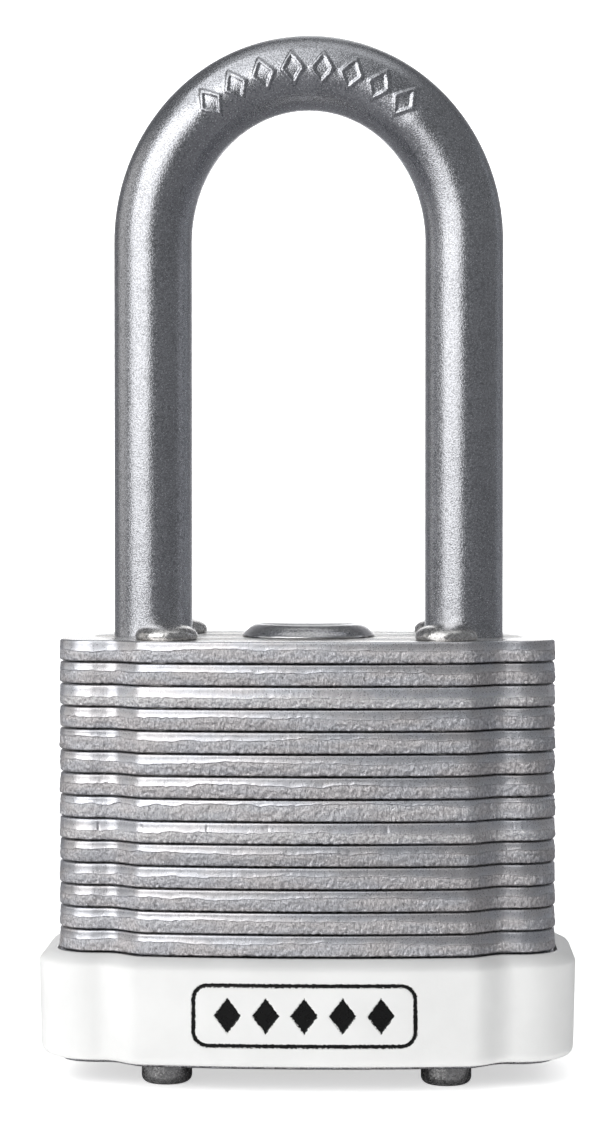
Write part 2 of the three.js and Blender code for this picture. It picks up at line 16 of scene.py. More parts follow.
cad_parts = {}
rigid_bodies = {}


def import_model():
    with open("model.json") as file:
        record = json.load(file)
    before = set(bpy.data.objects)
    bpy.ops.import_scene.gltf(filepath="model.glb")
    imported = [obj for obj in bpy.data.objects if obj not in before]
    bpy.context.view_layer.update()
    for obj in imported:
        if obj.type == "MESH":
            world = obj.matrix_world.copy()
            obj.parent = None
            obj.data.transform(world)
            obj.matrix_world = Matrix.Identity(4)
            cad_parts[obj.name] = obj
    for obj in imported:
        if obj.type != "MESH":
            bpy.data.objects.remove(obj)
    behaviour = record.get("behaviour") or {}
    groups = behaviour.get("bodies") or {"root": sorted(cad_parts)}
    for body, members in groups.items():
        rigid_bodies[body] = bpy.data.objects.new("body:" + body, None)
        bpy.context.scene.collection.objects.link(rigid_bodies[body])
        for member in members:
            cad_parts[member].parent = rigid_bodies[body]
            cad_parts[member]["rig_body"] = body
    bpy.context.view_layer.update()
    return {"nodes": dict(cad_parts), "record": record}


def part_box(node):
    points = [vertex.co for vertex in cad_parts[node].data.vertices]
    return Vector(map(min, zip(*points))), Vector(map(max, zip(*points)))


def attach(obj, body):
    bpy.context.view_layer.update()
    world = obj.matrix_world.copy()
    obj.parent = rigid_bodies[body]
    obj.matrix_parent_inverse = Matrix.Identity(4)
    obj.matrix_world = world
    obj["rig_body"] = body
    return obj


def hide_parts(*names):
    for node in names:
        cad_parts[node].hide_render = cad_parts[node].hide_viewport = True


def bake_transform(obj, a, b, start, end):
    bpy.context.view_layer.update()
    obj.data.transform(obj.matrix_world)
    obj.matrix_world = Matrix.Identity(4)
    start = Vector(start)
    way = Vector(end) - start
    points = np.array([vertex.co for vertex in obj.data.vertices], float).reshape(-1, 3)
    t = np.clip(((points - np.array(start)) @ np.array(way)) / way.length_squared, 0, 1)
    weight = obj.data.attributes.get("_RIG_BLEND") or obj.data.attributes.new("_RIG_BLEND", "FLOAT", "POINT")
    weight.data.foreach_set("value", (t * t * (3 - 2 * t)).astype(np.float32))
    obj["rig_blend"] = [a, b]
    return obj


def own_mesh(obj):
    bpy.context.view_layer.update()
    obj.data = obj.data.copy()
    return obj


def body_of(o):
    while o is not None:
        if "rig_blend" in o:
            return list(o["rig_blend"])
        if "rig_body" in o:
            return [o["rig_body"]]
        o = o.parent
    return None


bl_info = {
    "name": "Laminated padlock",
    "version": (1, 0, 0),
    "blender": (4, 5, 0),
    "location": "View3D > Sidebar > Padlock",
    "description": "Builds the visible pieces of a laminated padlock round its CAD frame",
    "category": "Add Mesh",
}

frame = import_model()

MM = 0.001
TAU = 2 * math.pi
PLATES = sorted(n for n in frame["nodes"] if n.startswith("plate_"))
RIVETS = sorted(n for n in frame["nodes"] if n.startswith("rivet_"))
PIN_SPRINGS = sorted(n for n in frame["nodes"] if n.startswith("pin_spring_"))


# ---------- settings ----------


def length(name, text, mm):
    """A length property whose default is given in millimetres."""
    return FloatProperty(name=name, description=text, default=mm * MM, unit="LENGTH", precision=5)


def share(name, text, value):
    """A property between 0 and 1."""
    return FloatProperty(name=name, description=text, default=value, subtype="FACTOR", min=0, max=1)


def colour(name, text, value):
    """A colour property."""
    return FloatVectorProperty(
        name=name, description=text, default=value, subtype="COLOR", min=0, max=1, size=3
    )


def angle(name, text, degrees):
    """An angle property whose default is given in degrees."""
    default = math.radians(degrees)
    return FloatProperty(name=name, description=text, default=default, subtype="ANGLE")


def strength(name, text, value):
    """The brightness of a light."""
    return FloatProperty(name=name, description=text, default=value, min=0)


class PadlockPlateSettings(bpy.types.PropertyGroup):
    """Sizes and colours of the stamped plates."""

    crown: length("Crown", "Bulge of the long faces", 0.863)
    step_depth: length("Step depth", "Set-back of the narrow ends", 2.3)
    step_run: length("Step run", "Length of the slope between middle and end", 4.4)
    shoulder: length("Shoulder", "Where the slope starts, beyond the rivets", 1.3)
    corner: length("Corner", "Radius of the outer corners", 3.5)
    roll_in: length("Roll width", "How far the punch rolls the top edge inwards", 0.26)
    roll_down: length("Roll height", "How far the roll runs down the edge", 0.2)
    lip: length("Lip", "How far the sheared band leans out at its lower edge", 0.09)
    tear: length("Tear depth", "How far the torn part lies behind the sheared band", 0.05)
    grain: length("Tear grain", "Height of the grain in the torn part", 0.11)
    band: share("Band", "Part of the thickness that the punch sheared smooth", 0.4)
    bright: colour("Sheared steel", "Colour of the smooth sheared band", (0.86, 0.86, 0.89))
    dull: colour("Torn steel", "Colour of the torn part of the edge", (0.87, 0.86, 0.88))
    face: colour("Sheet steel", "Colour of the flat faces", (0.86, 0.85, 0.84))


class PadlockShackleSettings(bpy.types.PropertyGroup):
    """Sizes and colours of the shackle."""

    notch: length("Notch depth", "Depth of the locking notches", 1.65)
    neck: length("Neck diameter", "Waist of the heel leg", 4.2)
    foot: length("Foot", "Full-size end below the waist", 3.0)
    flat: length("Flattening", "How far the bow is pressed thinner on its inside", 0.34)
    mark_height: length("Mark height", "Height of the raised marks above the bar", 0.2)
    mark_pitch: length("Mark pitch", "Distance between the raised marks", 2.75)
    marks: IntProperty(name="Marks", description="Number of raised marks on the bow", default=8)
    steel: colour("Plated steel", "Colour of the plated bar", (0.56, 0.57, 0.6))


class PadlockBumperSettings(bpy.types.PropertyGroup):
    """Sizes and colours of the plastic bumper."""

    wall: length("Wall", "Thickness of the bumper outside the plates", 1.75)
    draft: length("Draft", "How much narrower each side is at the bottom", 0.2)
    chamfer: length("Chamfer", "Slope round the top edge", 0.9)
    rounding: length("Rounding", "Radius of the bottom edge", 0.9)
    frame_width: length("Frame width", "Outer width of the engraved frame", 20.6)
    frame_height: length("Frame height", "Outer height of the engraved frame", 5.9)
    frame_corner: length("Frame corner", "Corner radius of the engraved frame", 1.3)
    line: length("Line", "Width of the engraved line", 0.36)
    engraving: length("Engraving", "Depth of the engraved line and marks", 0.14)
    plastic: colour("Plastic", "Colour of the plastic", (0.79, 0.79, 0.78))
    ink: colour("Ink", "Colour of the paint in the engraving", (0.006, 0.006, 0.006))


class PadlockFittingSettings(bpy.types.PropertyGroup):
    """Sizes and colours of rivets, cap, springs and inner parts."""

    head_height: length("Rivet head", "Height of the rivet heads", 1.5)
    cap_flat: length("Cap flat", "Width of the cap's flat top", 8.7)
    cap_rim: length("Cap rim", "Height of the cap's thin rim", 0.22)
    rivet: colour("Rivet steel", "Colour of the rivets", (0.74, 0.73, 0.72))
    cap: colour("Cap steel", "Colour of the cap", (0.72, 0.72, 0.73))
    wire: colour("Spring wire", "Colour of the springs", (0.42, 0.43, 0.46))
    tool_steel: colour("Inner steel", "Colour of the cam, dogs and retainer", (0.46, 0.46, 0.48))
    brass: colour("Brass", "Colour of the cylinder parts", (0.66, 0.48, 0.20))


class PadlockStageSettings(bpy.types.PropertyGroup):
    """Camera and light."""

    distance: length("Distance", "Camera distance from the shackle's plane", 288)
    height: length("Height", "Camera height above the rivet ends", 55.1)
    azimuth: angle("Azimuth", "Camera turn to the right", 1.7)
    pitch: angle("Pitch", "Camera tilt downwards", 1.37)
    lens: FloatProperty(name="Lens", description="Focal length", default=97.0, unit="CAMERA")
    paper: colour("Backdrop", "Colour of floor and backdrop", (0.93, 0.93, 0.93))
    mirrored: colour("Mirrored backdrop", "Backdrop's colour in the metal", (0.26, 0.26, 0.27))
    horizon: colour("Mirrored card", "Backdrop behind the lock in the metal", (0.95, 0.95, 0.95))
    glow: strength("Backdrop glow", "Light given off by the backdrop", 0.58)
    room: strength("Room light", "Light from all round", 0.4)
    gloom: strength("Mirrored room", "The room's light in the metal", 0.2)


class PadlockSettings(bpy.types.PropertyGroup):
    """All settings of the padlock."""

    plate: PointerProperty(type=PadlockPlateSettings)
    shackle: PointerProperty(type=PadlockShackleSettings)
    bumper: PointerProperty(type=PadlockBumperSettings)
    fitting: PointerProperty(type=PadlockFittingSettings)
    stage: PointerProperty(type=PadlockStageSettings)


# ---------- sizes read from the frame ----------


def centre(node):
    """The middle of a CAD node's box."""
    low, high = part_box(node)
    return (low + high) / 2


TOP_PLATE = PLATES[-1]
plate_low, plate_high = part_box(TOP_PLATE)
shackle_low, shackle_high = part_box("shackle")
BODY_TOP = plate_high.z
THICKNESS = plate_high.z - plate_low.z
HALF_WIDTH = plate_high.x
HALF_DEPTH = plate_high.y
BAR = shackle_high.y
LEG_X = shackle_high.x - BAR
BOW_RISE = 1.05 * MM  # how much taller the bow is than a half circle
BOW_HEIGHT = LEG_X + BOW_RISE
BOW_Z = shackle_high.z - BAR - BOW_HEIGHT
RIVET_X = abs(centre(RIVETS[0]).x)
RIVET_Y = abs(centre(RIVETS[0]).y)

# sizes that the frame doesn't give
SLIP = 0.15 * MM  # room round pieces that fit closely
PLAY = 0.2 * MM  # room beside flat pieces
FREE = 0.3 * MM  # room round pieces that move
EDGE = 0.1 * MM  # break of the plates' sharp edges
POLE = 0.02 * MM  # radius of the last ring before a turned piece's pole
RIVET_HOLE, FACE_HOLE, COLLAR_HOLE, STEM_HOLE = 2.5 * MM, 5.35 * MM, 4.15 * MM, 2.65 * MM  # radii
SHANK, STEM = 2.35 * MM, 2.5 * MM  # radii of the rivets' shanks and the cap's stem
TOE_ROOM = 1.3 * MM  # between plate 13 and the toe's end
SHACKLE_WIRE, SMALL_WIRE = 0.7 * MM, 0.32 * MM  # diameters


# ---------- arrays ----------


def ease(t):
    """A smooth rise from 0 to 1: t squared times 3 less 2 t."""
    t = np.clip(t, 0, 1)
    return t * t * (3 - 2 * t)


def gentle(t):
    """A rise from 0 to 1 with flatter ends: t cubed times 6 t squared less 15 t plus 10."""
    return t**3 * (t * (6 * t - 15) + 10)


def lattice(x, y, seed, columns=0):
    """Smooth random values from -1 to 1: a grid of random numbers, one at each whole x and y, blended
    between them. With columns it repeats after that many units along x."""
    size = 64
    table = np.random.default_rng(seed).random((size, columns or size)) * 2 - 1
    x, y = np.broadcast_arrays(np.asarray(x, float), np.asarray(y, float))
    i, j = np.floor(x).astype(int), np.floor(y).astype(int)
    s, t = ease(x - i), ease(y - j)
    rows, wide = table.shape

    def at(dj, di):
        """The random numbers at a corner of each value's square."""
        return table[(j + dj) % rows, (i + di) % wide]

    low = at(0, 0) * (1 - s) + at(0, 1) * s
    high = at(1, 0) * (1 - s) + at(1, 1) * s
    return low * (1 - t) + high * t


def grid_faces(rows, columns, wrap_rows=False, inward=False, start=0):
    """The quads of a grid whose columns close on themselves. Rows run down the piece and columns
    anticlockwise seen from above, so that the quads face outwards, or inwards for a hole."""
    r = np.arange(rows if wrap_rows else rows - 1)[:, None]
    c = np.arange(columns)[None, :]
    below, beside = (r + 1) % rows, (c + 1) % columns
    corners = [r * columns + c, below * columns + c, below * columns + beside, r * columns + beside]
    quads = np.stack(np.broadcast_arrays(*corners), -1).reshape(-1, 4) + start
    return quads[:, ::-1] if inward else quads


def fan(ring, middle, down=False):
    """Triangles from a ring of corners to one in its middle, facing up or down."""
    following = np.roll(ring, -1)
    tips = np.full(len(ring), middle)
    order = [following, ring, tips] if down else [ring, following, tips]
    return np.stack(order, -1)


def closed_ends(points, rows, columns, inward=False):
    """Corners and faces of a tube of rows, with one corner more in the middle of each end."""
    count = rows * columns
    first = np.arange(columns)
    faces = [
        grid_faces(rows, columns, inward=inward),
        fan(first, count, down=inward),
        fan(first + count - columns, count + 1, down=not inward),
    ]
    middles = [points[:columns].mean(0), points[-columns:].mean(0)]
    return np.concatenate([points, middles]), faces


def build(name, points, faces, body, material, replaced, attributes=None, angle=40):
    """A mesh object from arrays of corners and faces, in place of CAD nodes. It rides on its CAD body, or
    on none when its caller blends it between two."""
    mesh = bpy.data.meshes.new(name)
    points = np.asarray(points, np.float32).reshape(-1, 3)
    counts = np.concatenate([np.full(len(f), f.shape[1], np.int32) for f in faces])
    corners = np.concatenate([np.asarray(f, np.int32).ravel() for f in faces])
    mesh.vertices.add(len(points))
    mesh.vertices.foreach_set("co", points.ravel())
    mesh.loops.add(len(corners))
    mesh.loops.foreach_set("vertex_index", corners)
    mesh.polygons.add(len(counts))
    starts = np.concatenate([[0], np.cumsum(counts)[:-1]])
    mesh.polygons.foreach_set("loop_start", starts.astype(np.int32))
    mesh.update(calc_edges=True)
    for key, values in (attributes or {}).items():
        layer = mesh.attributes.new(key, "FLOAT", "POINT")
        layer.data.foreach_set("value", np.asarray(values, np.float32).ravel())
    mesh.validate()
    mesh.shade_smooth()
    mesh.set_sharp_from_angle(angle=math.radians(angle))
    mesh.materials.append(material)
    piece = bpy.data.objects.new(name, mesh)
    bpy.context.scene.collection.objects.link(piece)
    if body:
        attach(piece, body)
    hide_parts(*replaced)
    return piece


# ---------- the plates' outline ----------

# where one quarter of the outline passes from crown to slope, end flat, corner and end face
QUARTER_STOPS = (0.0, 0.42, 0.57, 0.62, 0.82, 1.0)


def quarter_outline(w, grow, s):
    """A quarter of the outline moved outwards by grow: a parabola over the middle, a smooth slope that
    starts with the parabola's lean, a flat, a round corner and the end face. w runs from 0 at the middle
    to 1 at the end."""
    shoulder_y = HALF_DEPTH - s.crown
    shoulder_x = RIVET_X + s.shoulder + 0.4 * grow
    corner_x = HALF_WIDTH - s.corner
    end_y = shoulder_y - s.step_depth
    parts = [np.clip((w - a) / (b - a), 0, 1) for a, b in zip(QUARTER_STOPS, QUARTER_STOPS[1:])]
    crown, slope, flat, corner, end = parts
    turn = corner * math.pi / 2
    flat_start = shoulder_x + s.step_run
    lean = 2 * s.crown / shoulder_x
    bend = lean * s.step_run * slope * (1 - slope) ** 3
    xs = [
        crown * shoulder_x,
        shoulder_x + slope * s.step_run,
        flat_start + flat * (corner_x - flat_start),
        corner_x + (s.corner + grow) * np.sin(turn),
        HALF_WIDTH + grow + 0 * end,
    ]
    ys = [
        shoulder_y + s.crown * (1 - crown**2) + grow,
        shoulder_y + grow - s.step_depth * gentle(slope) - bend,
        end_y + grow + 0 * flat,
        end_y - s.corner + (s.corner + grow) * np.cos(turn),
        (end_y - s.corner) * (1 - end) + 0 * grow,
    ]
    shape = np.broadcast(w, grow).shape
    index = np.broadcast_to(np.searchsorted(QUARTER_STOPS[1:-1], w, side="right"), shape)
    x = np.choose(index, [np.broadcast_to(v, shape) for v in xs])
    y = np.choose(index, [np.broadcast_to(v, shape) for v in ys])
    return x, y


def outline(u, grow, s):
    """The whole outline, anticlockwise from the front middle. u counts quarters from 0 to 4."""
    quarter = np.floor(u).astype(int) % 4
    part = u - np.floor(u)
    odd = quarter % 2 == 1
    x, y = quarter_outline(np.where(odd, 1 - part, part), grow, s)
    left = np.isin(quarter, (2, 3))
    back = np.isin(quarter, (1, 2))
    return np.where(left, -x, x), np.where(back, y, -y)


def even_steps(count, s, weight=None):
    """Values of u that walk round the outline in even steps, or finer ones where weight is above 1."""
    u = np.linspace(0, 4, 8001)
    x, y = outline(u[:-1], 0.0, s)
    gaps = np.hypot(np.diff(x, append=x[0]), np.diff(y, append=y[0]))
    if weight is not None:
        gaps = gaps * weight(x, y)
    walked = np.concatenate([[0], np.cumsum(gaps)])
    return np.interp(np.arange(count) / count * walked[-1], walked, u) % 4


# ---------- shader parts ----------


class Nodes:
    """Adds shader nodes to a tree, each with its inputs set or linked by name or number."""

    def __init__(self, tree):
        self.tree = tree

    def add(self, kind, inputs=(), **settings):
        """A new node with its inputs given as sockets or plain values."""
        made = self.tree.nodes.new(kind)
        for key, value in settings.items():
            setattr(made, key, value)
        for key, value in dict(inputs).items():
            if isinstance(value, bpy.types.NodeSocket):
                self.tree.links.new(value, made.inputs[key])
            else:
                made.inputs[key].default_value = value
        return made

    def maths(self, operation, a, b=0.0, clamp=False):
        """The result of a Math node."""
        made = self.add("ShaderNodeMath", {0: a, 1: b}, operation=operation, use_clamp=clamp)
        return made.outputs[0]

    def colour_maths(self, operation, colour, other):
        """A colour times another, or scaled by a number."""
        key = "Scale" if operation == "SCALE" else 1
        made = self.add("ShaderNodeVectorMath", {0: colour, key: other}, operation=operation)
        return made.outputs[0]

    def span(self, value, low, high, to_low=0.0, to_high=1.0):
        """A smooth step of value from low to high, spread from to_low to to_high."""
        inputs = {
            "Value": value, "From Min": low, "From Max": high, "To Min": to_low, "To Max": to_high,
        }
        made = self.add("ShaderNodeMapRange", inputs, interpolation_type="SMOOTHSTEP")
        return made.outputs["Result"]

    def mix(self, share, a, b):
        """A colour between a and b, each a socket or three numbers."""
        made = self.add("ShaderNodeMix", {"Factor": share}, data_type="RGBA")
        for key, value in ((6, a), (7, b)):
            if isinstance(value, bpy.types.NodeSocket):
                self.tree.links.new(value, made.inputs[key])
            else:
                made.inputs[key].default_value = (*value, 1)
        return made.outputs[2]

    def attribute(self, name):
        """The values of a mesh attribute."""
        return self.add("ShaderNodeAttribute", attribute_name=name).outputs["Fac"]

    def noise(self, place, scale, detail=3.0, roughness=0.55, stretch=(1, 1, 1)):
        """Noise at a place, drawn out where an axis of stretch is small."""
        mapping = self.add("ShaderNodeMapping", {"Vector": place, "Scale": stretch})
        inputs = {
            "Vector": mapping.outputs[0], "Scale": scale, "Detail": detail, "Roughness": roughness,
        }
        return self.add("ShaderNodeTexNoise", inputs).outputs["Fac"]

    def object_place(self):
        """The place on the piece in its own axes."""
        return self.add("ShaderNodeTexCoord").outputs["Object"]

    def relief(self, height, distance):
        """Normals of a bump of that height."""
        inputs = {"Height": height, "Distance": distance, "Strength": 1.0}
        return self.add("ShaderNodeBump", inputs).outputs[0]

    def surface(self, shade, rough, **others):
        """A Principled BSDF joined to the material's output."""
        inputs = {key.replace("_", " "): value for key, value in others.items()}
        inputs = {"Base Color": shade, "Roughness": rough, **inputs}
        shader = self.add("ShaderNodeBsdfPrincipled", inputs)
        self.add("ShaderNodeOutputMaterial", {"Surface": shader.outputs[0]})


def empty_material(name):
    """A material without nodes, and the Nodes that fill it."""
    material = bpy.data.materials.new(name)
    material.use_nodes = True
    material.node_tree.nodes.clear()
    return material, Nodes(material.node_tree)


def toned(colour, factor):
    """A colour made darker or lighter, up to white."""
    return tuple(min(1, c * factor) for c in colour)


def node_group(name, inputs, outputs, fill):
    """A shader node group. inputs and outputs are (name, socket type, default) rows, and fill returns the
    outputs by name from its Nodes and the group's inputs."""
    group = bpy.data.node_groups.get(name)
    if group:
        return group
    group = bpy.data.node_groups.new(name, "ShaderNodeTree")
    for label, kind, default in inputs:
        socket = group.interface.new_socket(label, in_out="INPUT", socket_type=kind)
        socket.default_value = default
    for label, kind in outputs:
        group.interface.new_socket(label, in_out="OUTPUT", socket_type=kind)
    nodes = Nodes(group)
    given = nodes.add("NodeGroupInput").outputs
    nodes.add("NodeGroupOutput", fill(nodes, given))
    return group


def wear_group():
    """Soft cloudy stains and fine grain, used by every metal. Its outputs are a tint, a change of
    roughness and a height for a bump."""

    def fill(n, given):
        """The group's nodes, and its outputs by name."""
        place = n.object_place()
        clouds = n.noise(place, 260.0, 4.0, 0.6)
        grain = n.noise(place, given["Grain"], 2.0, 0.5)
        specks = n.span(n.noise(place, given["Grain"], 1.0, 0.4, (0.55, 0.55, 0.55)), 0.6, 0.7)
        cloudy = n.maths("MULTIPLY", n.span(clouds, 0.3, 0.7, -0.5, 0.5), given["Clouds"])
        spots = n.span(grain, 0.35, 0.65, -0.6, 0.5)
        spots = n.maths("SUBTRACT", spots, n.maths("MULTIPLY", specks, 0.7))
        return {
            "Tint": n.maths("ADD", cloudy, spots),
            "Rough": n.span(grain, 0.25, 0.75, -0.5, 0.5),
            "Height": grain,
        }

    rows = [("Grain", "NodeSocketFloat", 6000.0), ("Clouds", "NodeSocketFloat", 1.0)]
    names = [(name, "NodeSocketFloat") for name in ("Tint", "Rough", "Height")]
    return node_group("Metal wear", rows, names, fill)


def metal(name, base, roughness, grain=6000.0, bump=0.02, tint=0.12, streak=None, clouds=1.0):
    """A worn metal: its colour darkens in clouds and specks, its roughness varies with the grain, and a
    fine bump, in millimetres, breaks the reflections. streak stretches a second noise into drawn or
    turned lines."""
    material, n = empty_material(name)
    wear = n.add("ShaderNodeGroup", node_tree=wear_group())
    wear.inputs["Grain"].default_value = grain
    wear.inputs["Clouds"].default_value = clouds
    dark, light = toned(base, 1 - 3 * tint), toned(base, 1 + tint)
    shade = n.mix(n.span(wear.outputs["Tint"], -1.0, 0.5), dark, light)
    rough = n.maths("ADD", n.maths("MULTIPLY", wear.outputs["Rough"], 0.16), roughness, clamp=True)
    height = wear.outputs["Height"]
    if streak:
        lines = n.noise(n.object_place(), 900.0, 4.0, 0.7, streak)
        height = n.maths("ADD", n.maths("MULTIPLY", height, 0.5), lines)
        rough = n.maths("ADD", rough, n.span(lines, 0.3, 0.7, -0.05, 0.05), clamp=True)
    n.surface(shade, rough, Metallic=1.0, Normal=n.relief(height, bump * MM))
    return material


def plate_steel(s):
    """Stamped steel. The attribute band is the height above the tear line in millimetres, so it is above 0
    in the sheared band and below 0 in the torn part. flat says how far a corner belongs to a flat face,
    gap how far it is from the crack above or below, and tone is the plate's own brightness. Towards the
    cracks between plates, and a little on the hole walls, the colour is darkened as painted shade."""
    material, n = empty_material("Plate steel")
    place = n.object_place()
    wear = n.add("ShaderNodeGroup", node_tree=wear_group())
    wear.inputs["Grain"].default_value = 7000.0
    band, flat, gap, tone = (n.attribute(key) for key in ("band", "flat", "gap", "tone"))
    sheared = n.span(band, -0.02, 0.05)
    streaks = n.noise(place, 3600.0, 3.0, 0.65, (1, 1, 0.2))
    crumbs = n.noise(place, 6200.0, 4.0, 0.75, (1, 1, 0.7))
    pits = n.noise(place, 2300.0, 3.0, 0.7, (1, 1, 0.7))
    torn = n.mix(n.span(crumbs, 0.4, 0.57), toned(s.dull, 0.7), toned(s.dull, 1.12))
    # painted shade: the torn colour is darkened where the pits noise is low, the same places that the bump
    # sinks into pits
    torn = n.mix(n.span(pits, 0.29, 0.35), toned(s.dull, 0.35), torn)
    smooth = n.mix(n.span(streaks, 0.3, 0.62), toned(s.bright, 0.92), s.bright)
    # painted light: the sheared band's colour is lighter near the tear line and darker towards the rolled
    # top
    painted_band_light = n.span(band, 0.0, 0.55, 1.04, 0.9)
    smooth = n.colour_maths("SCALE", smooth, painted_band_light)
    edge = n.mix(sheared, torn, smooth)
    skin = n.mix(n.span(wear.outputs["Tint"], -1.0, 0.5), toned(s.face, 0.75), s.face)
    shade = n.mix(flat, edge, skin)
    hue = n.noise(place, 420.0, 2.0, 0.5, (0.5, 1, 1.6))
    tinge = n.mix(n.span(hue, 0.35, 0.65), (1.0, 0.98, 0.965), (0.965, 0.98, 1.0))
    shade = n.colour_maths("MULTIPLY", shade, tinge)
    # painted shade: the plate's random tone times a darkening towards the cracks between plates, read from
    # gap
    level = n.maths("MULTIPLY", tone, n.span(gap, 0.0, 0.12, 0.6, 1.0))
    shade = n.colour_maths("SCALE", shade, level)
    rough = n.span(sheared, 0.0, 1.0, 0.4, 0.32)
    rough = n.maths("ADD", rough, n.maths("MULTIPLY", flat, -0.08))
    rough = n.maths("ADD", rough, n.maths("MULTIPLY", wear.outputs["Rough"], 0.14), clamp=True)
    deep = n.span(sheared, 0.0, 1.0, 1.0, 0.12)
    height = n.maths("ADD", n.maths("MULTIPLY", streaks, 0.6), n.maths("ADD", crumbs, pits))
    height = n.maths("MULTIPLY", height, deep)
    n.surface(shade, rough, Metallic=1.0, Normal=n.relief(height, 0.11 * MM))
    return material


def bumper_plastic(s):
    """Moulded plastic with a fine grain. The attribute ink is above 0 in the painted engraving."""
    material, n = empty_material("Bumper plastic")
    place = n.object_place()
    grain = n.noise(place, 2600.0, 3.0, 0.6)
    clouds = n.noise(place, 180.0, 3.0, 0.5)
    white = n.mix(n.span(clouds, 0.3, 0.7), toned(s.plastic, 0.95), s.plastic)
    chips = n.span(n.noise(place, 5200.0, 2.0, 0.6), 0.3, 0.7, -0.5, 0.5)
    chips = n.maths("MULTIPLY", chips, 0.1)
    painted = n.span(n.maths("ADD", n.attribute("ink"), chips), -0.02, 0.02)
    shade = n.mix(painted, white, s.ink)
    rough = n.span(painted, 0.0, 1.0, 0.42, 0.3)
    rough = n.maths("ADD", rough, n.span(grain, 0.3, 0.7, -0.05, 0.05))
    n.surface(shade, rough, Metallic=0.0, Normal=n.relief(grain, 0.02 * MM), Specular_IOR_Level=0.3)
    return material


# ---------- plates ----------


def circle(x, y, radius, count):
    """Corners of a circle, anticlockwise."""
    angle = np.arange(count) * TAU / count
    return np.stack([x + radius * np.cos(angle), y + radius * np.sin(angle)], -1)


def housing_seat():
    """A round hole with a bay for the pin tower, anticlockwise."""
    housing_low, housing_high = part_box("cylinder_housing")
    radius = housing_high.y + SLIP
    cover_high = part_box("spring_cover")[1]
    half, reach = cover_high.y + PLAY, cover_high.x + SLIP
    start = math.asin(half / radius)
    angle = np.linspace(start, TAU - start, 60)
    arc = np.stack([radius * np.cos(angle), radius * np.sin(angle)], -1)
    return np.concatenate([arc, [[reach, -half], [reach, half]]])


def rectangle(low, high, margin):
    """Corners of a box seen from above with a margin round it, anticlockwise."""
    x0, y0, x1, y1 = low.x - margin, low.y - margin, high.x + margin, high.y + margin
    return np.array([[x0, y0], [x1, y0], [x1, y1], [x0, y1]])


def dog_channel():
    """The two leg holes joined by the channel that the dogs slide in, anticlockwise."""
    radius = BAR + SLIP
    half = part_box("toe_dog")[1].y + PLAY
    start = math.asin(half / radius)
    angle = np.linspace(-(math.pi - start), math.pi - start, 40)
    toe = np.stack([LEG_X + radius * np.cos(angle), radius * np.sin(angle)], -1)
    return np.concatenate([toe, -toe])


def leg_hole(side):
    """The hole round a leg of the shackle, on the side of +X or -X."""
    return circle(side * LEG_X, 0, BAR + SLIP, 64)


def plate_holes(number):
    """The outlines of a plate's holes, by the plate's job in the stack."""
    holes = [circle(x * RIVET_X, y * RIVET_Y, RIVET_HOLE, 32) for x in (-1, 1) for y in (-1, 1)]
    if number == 1:
        return [*holes, circle(0, 0, FACE_HOLE, 96)]
    if number <= 12:
        return [*holes, housing_seat(), leg_hole(-1)]
    if number == 13:
        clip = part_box("plug_clip")[1].y + FREE
        return [*holes, circle(0, 0, clip, 64), rectangle(*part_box("heel_retainer"), PLAY)]
    if number == 14:
        return [*holes, circle(0, 0, COLLAR_HOLE, 48), leg_hole(-1), leg_hole(1)]
    if number == 15:
        return [*holes, circle(0, 0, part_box("cam")[1].x + SLIP, 64), leg_hole(-1), leg_hole(1)]
    if number <= 17:
        return [*holes, dog_channel()]
    return [*holes, circle(0, 0, STEM_HOLE, 32), leg_hole(-1), leg_hole(1)]


# plates whose edges stand out: part sheared smooth, waviness of the tear, brightness, depth of cracks
ODD_PLATES = {
    17: (0.54, 0.5, 1.16, 0.1),
    15: (0.36, 1.0, 0.97, 0.0),
    12: (0.24, 1.6, 1.05, 0.0),
    11: (0.52, 1.1, 1.12, 1.0),
    9: (0.44, 0.9, 1.0, 0.2),
}


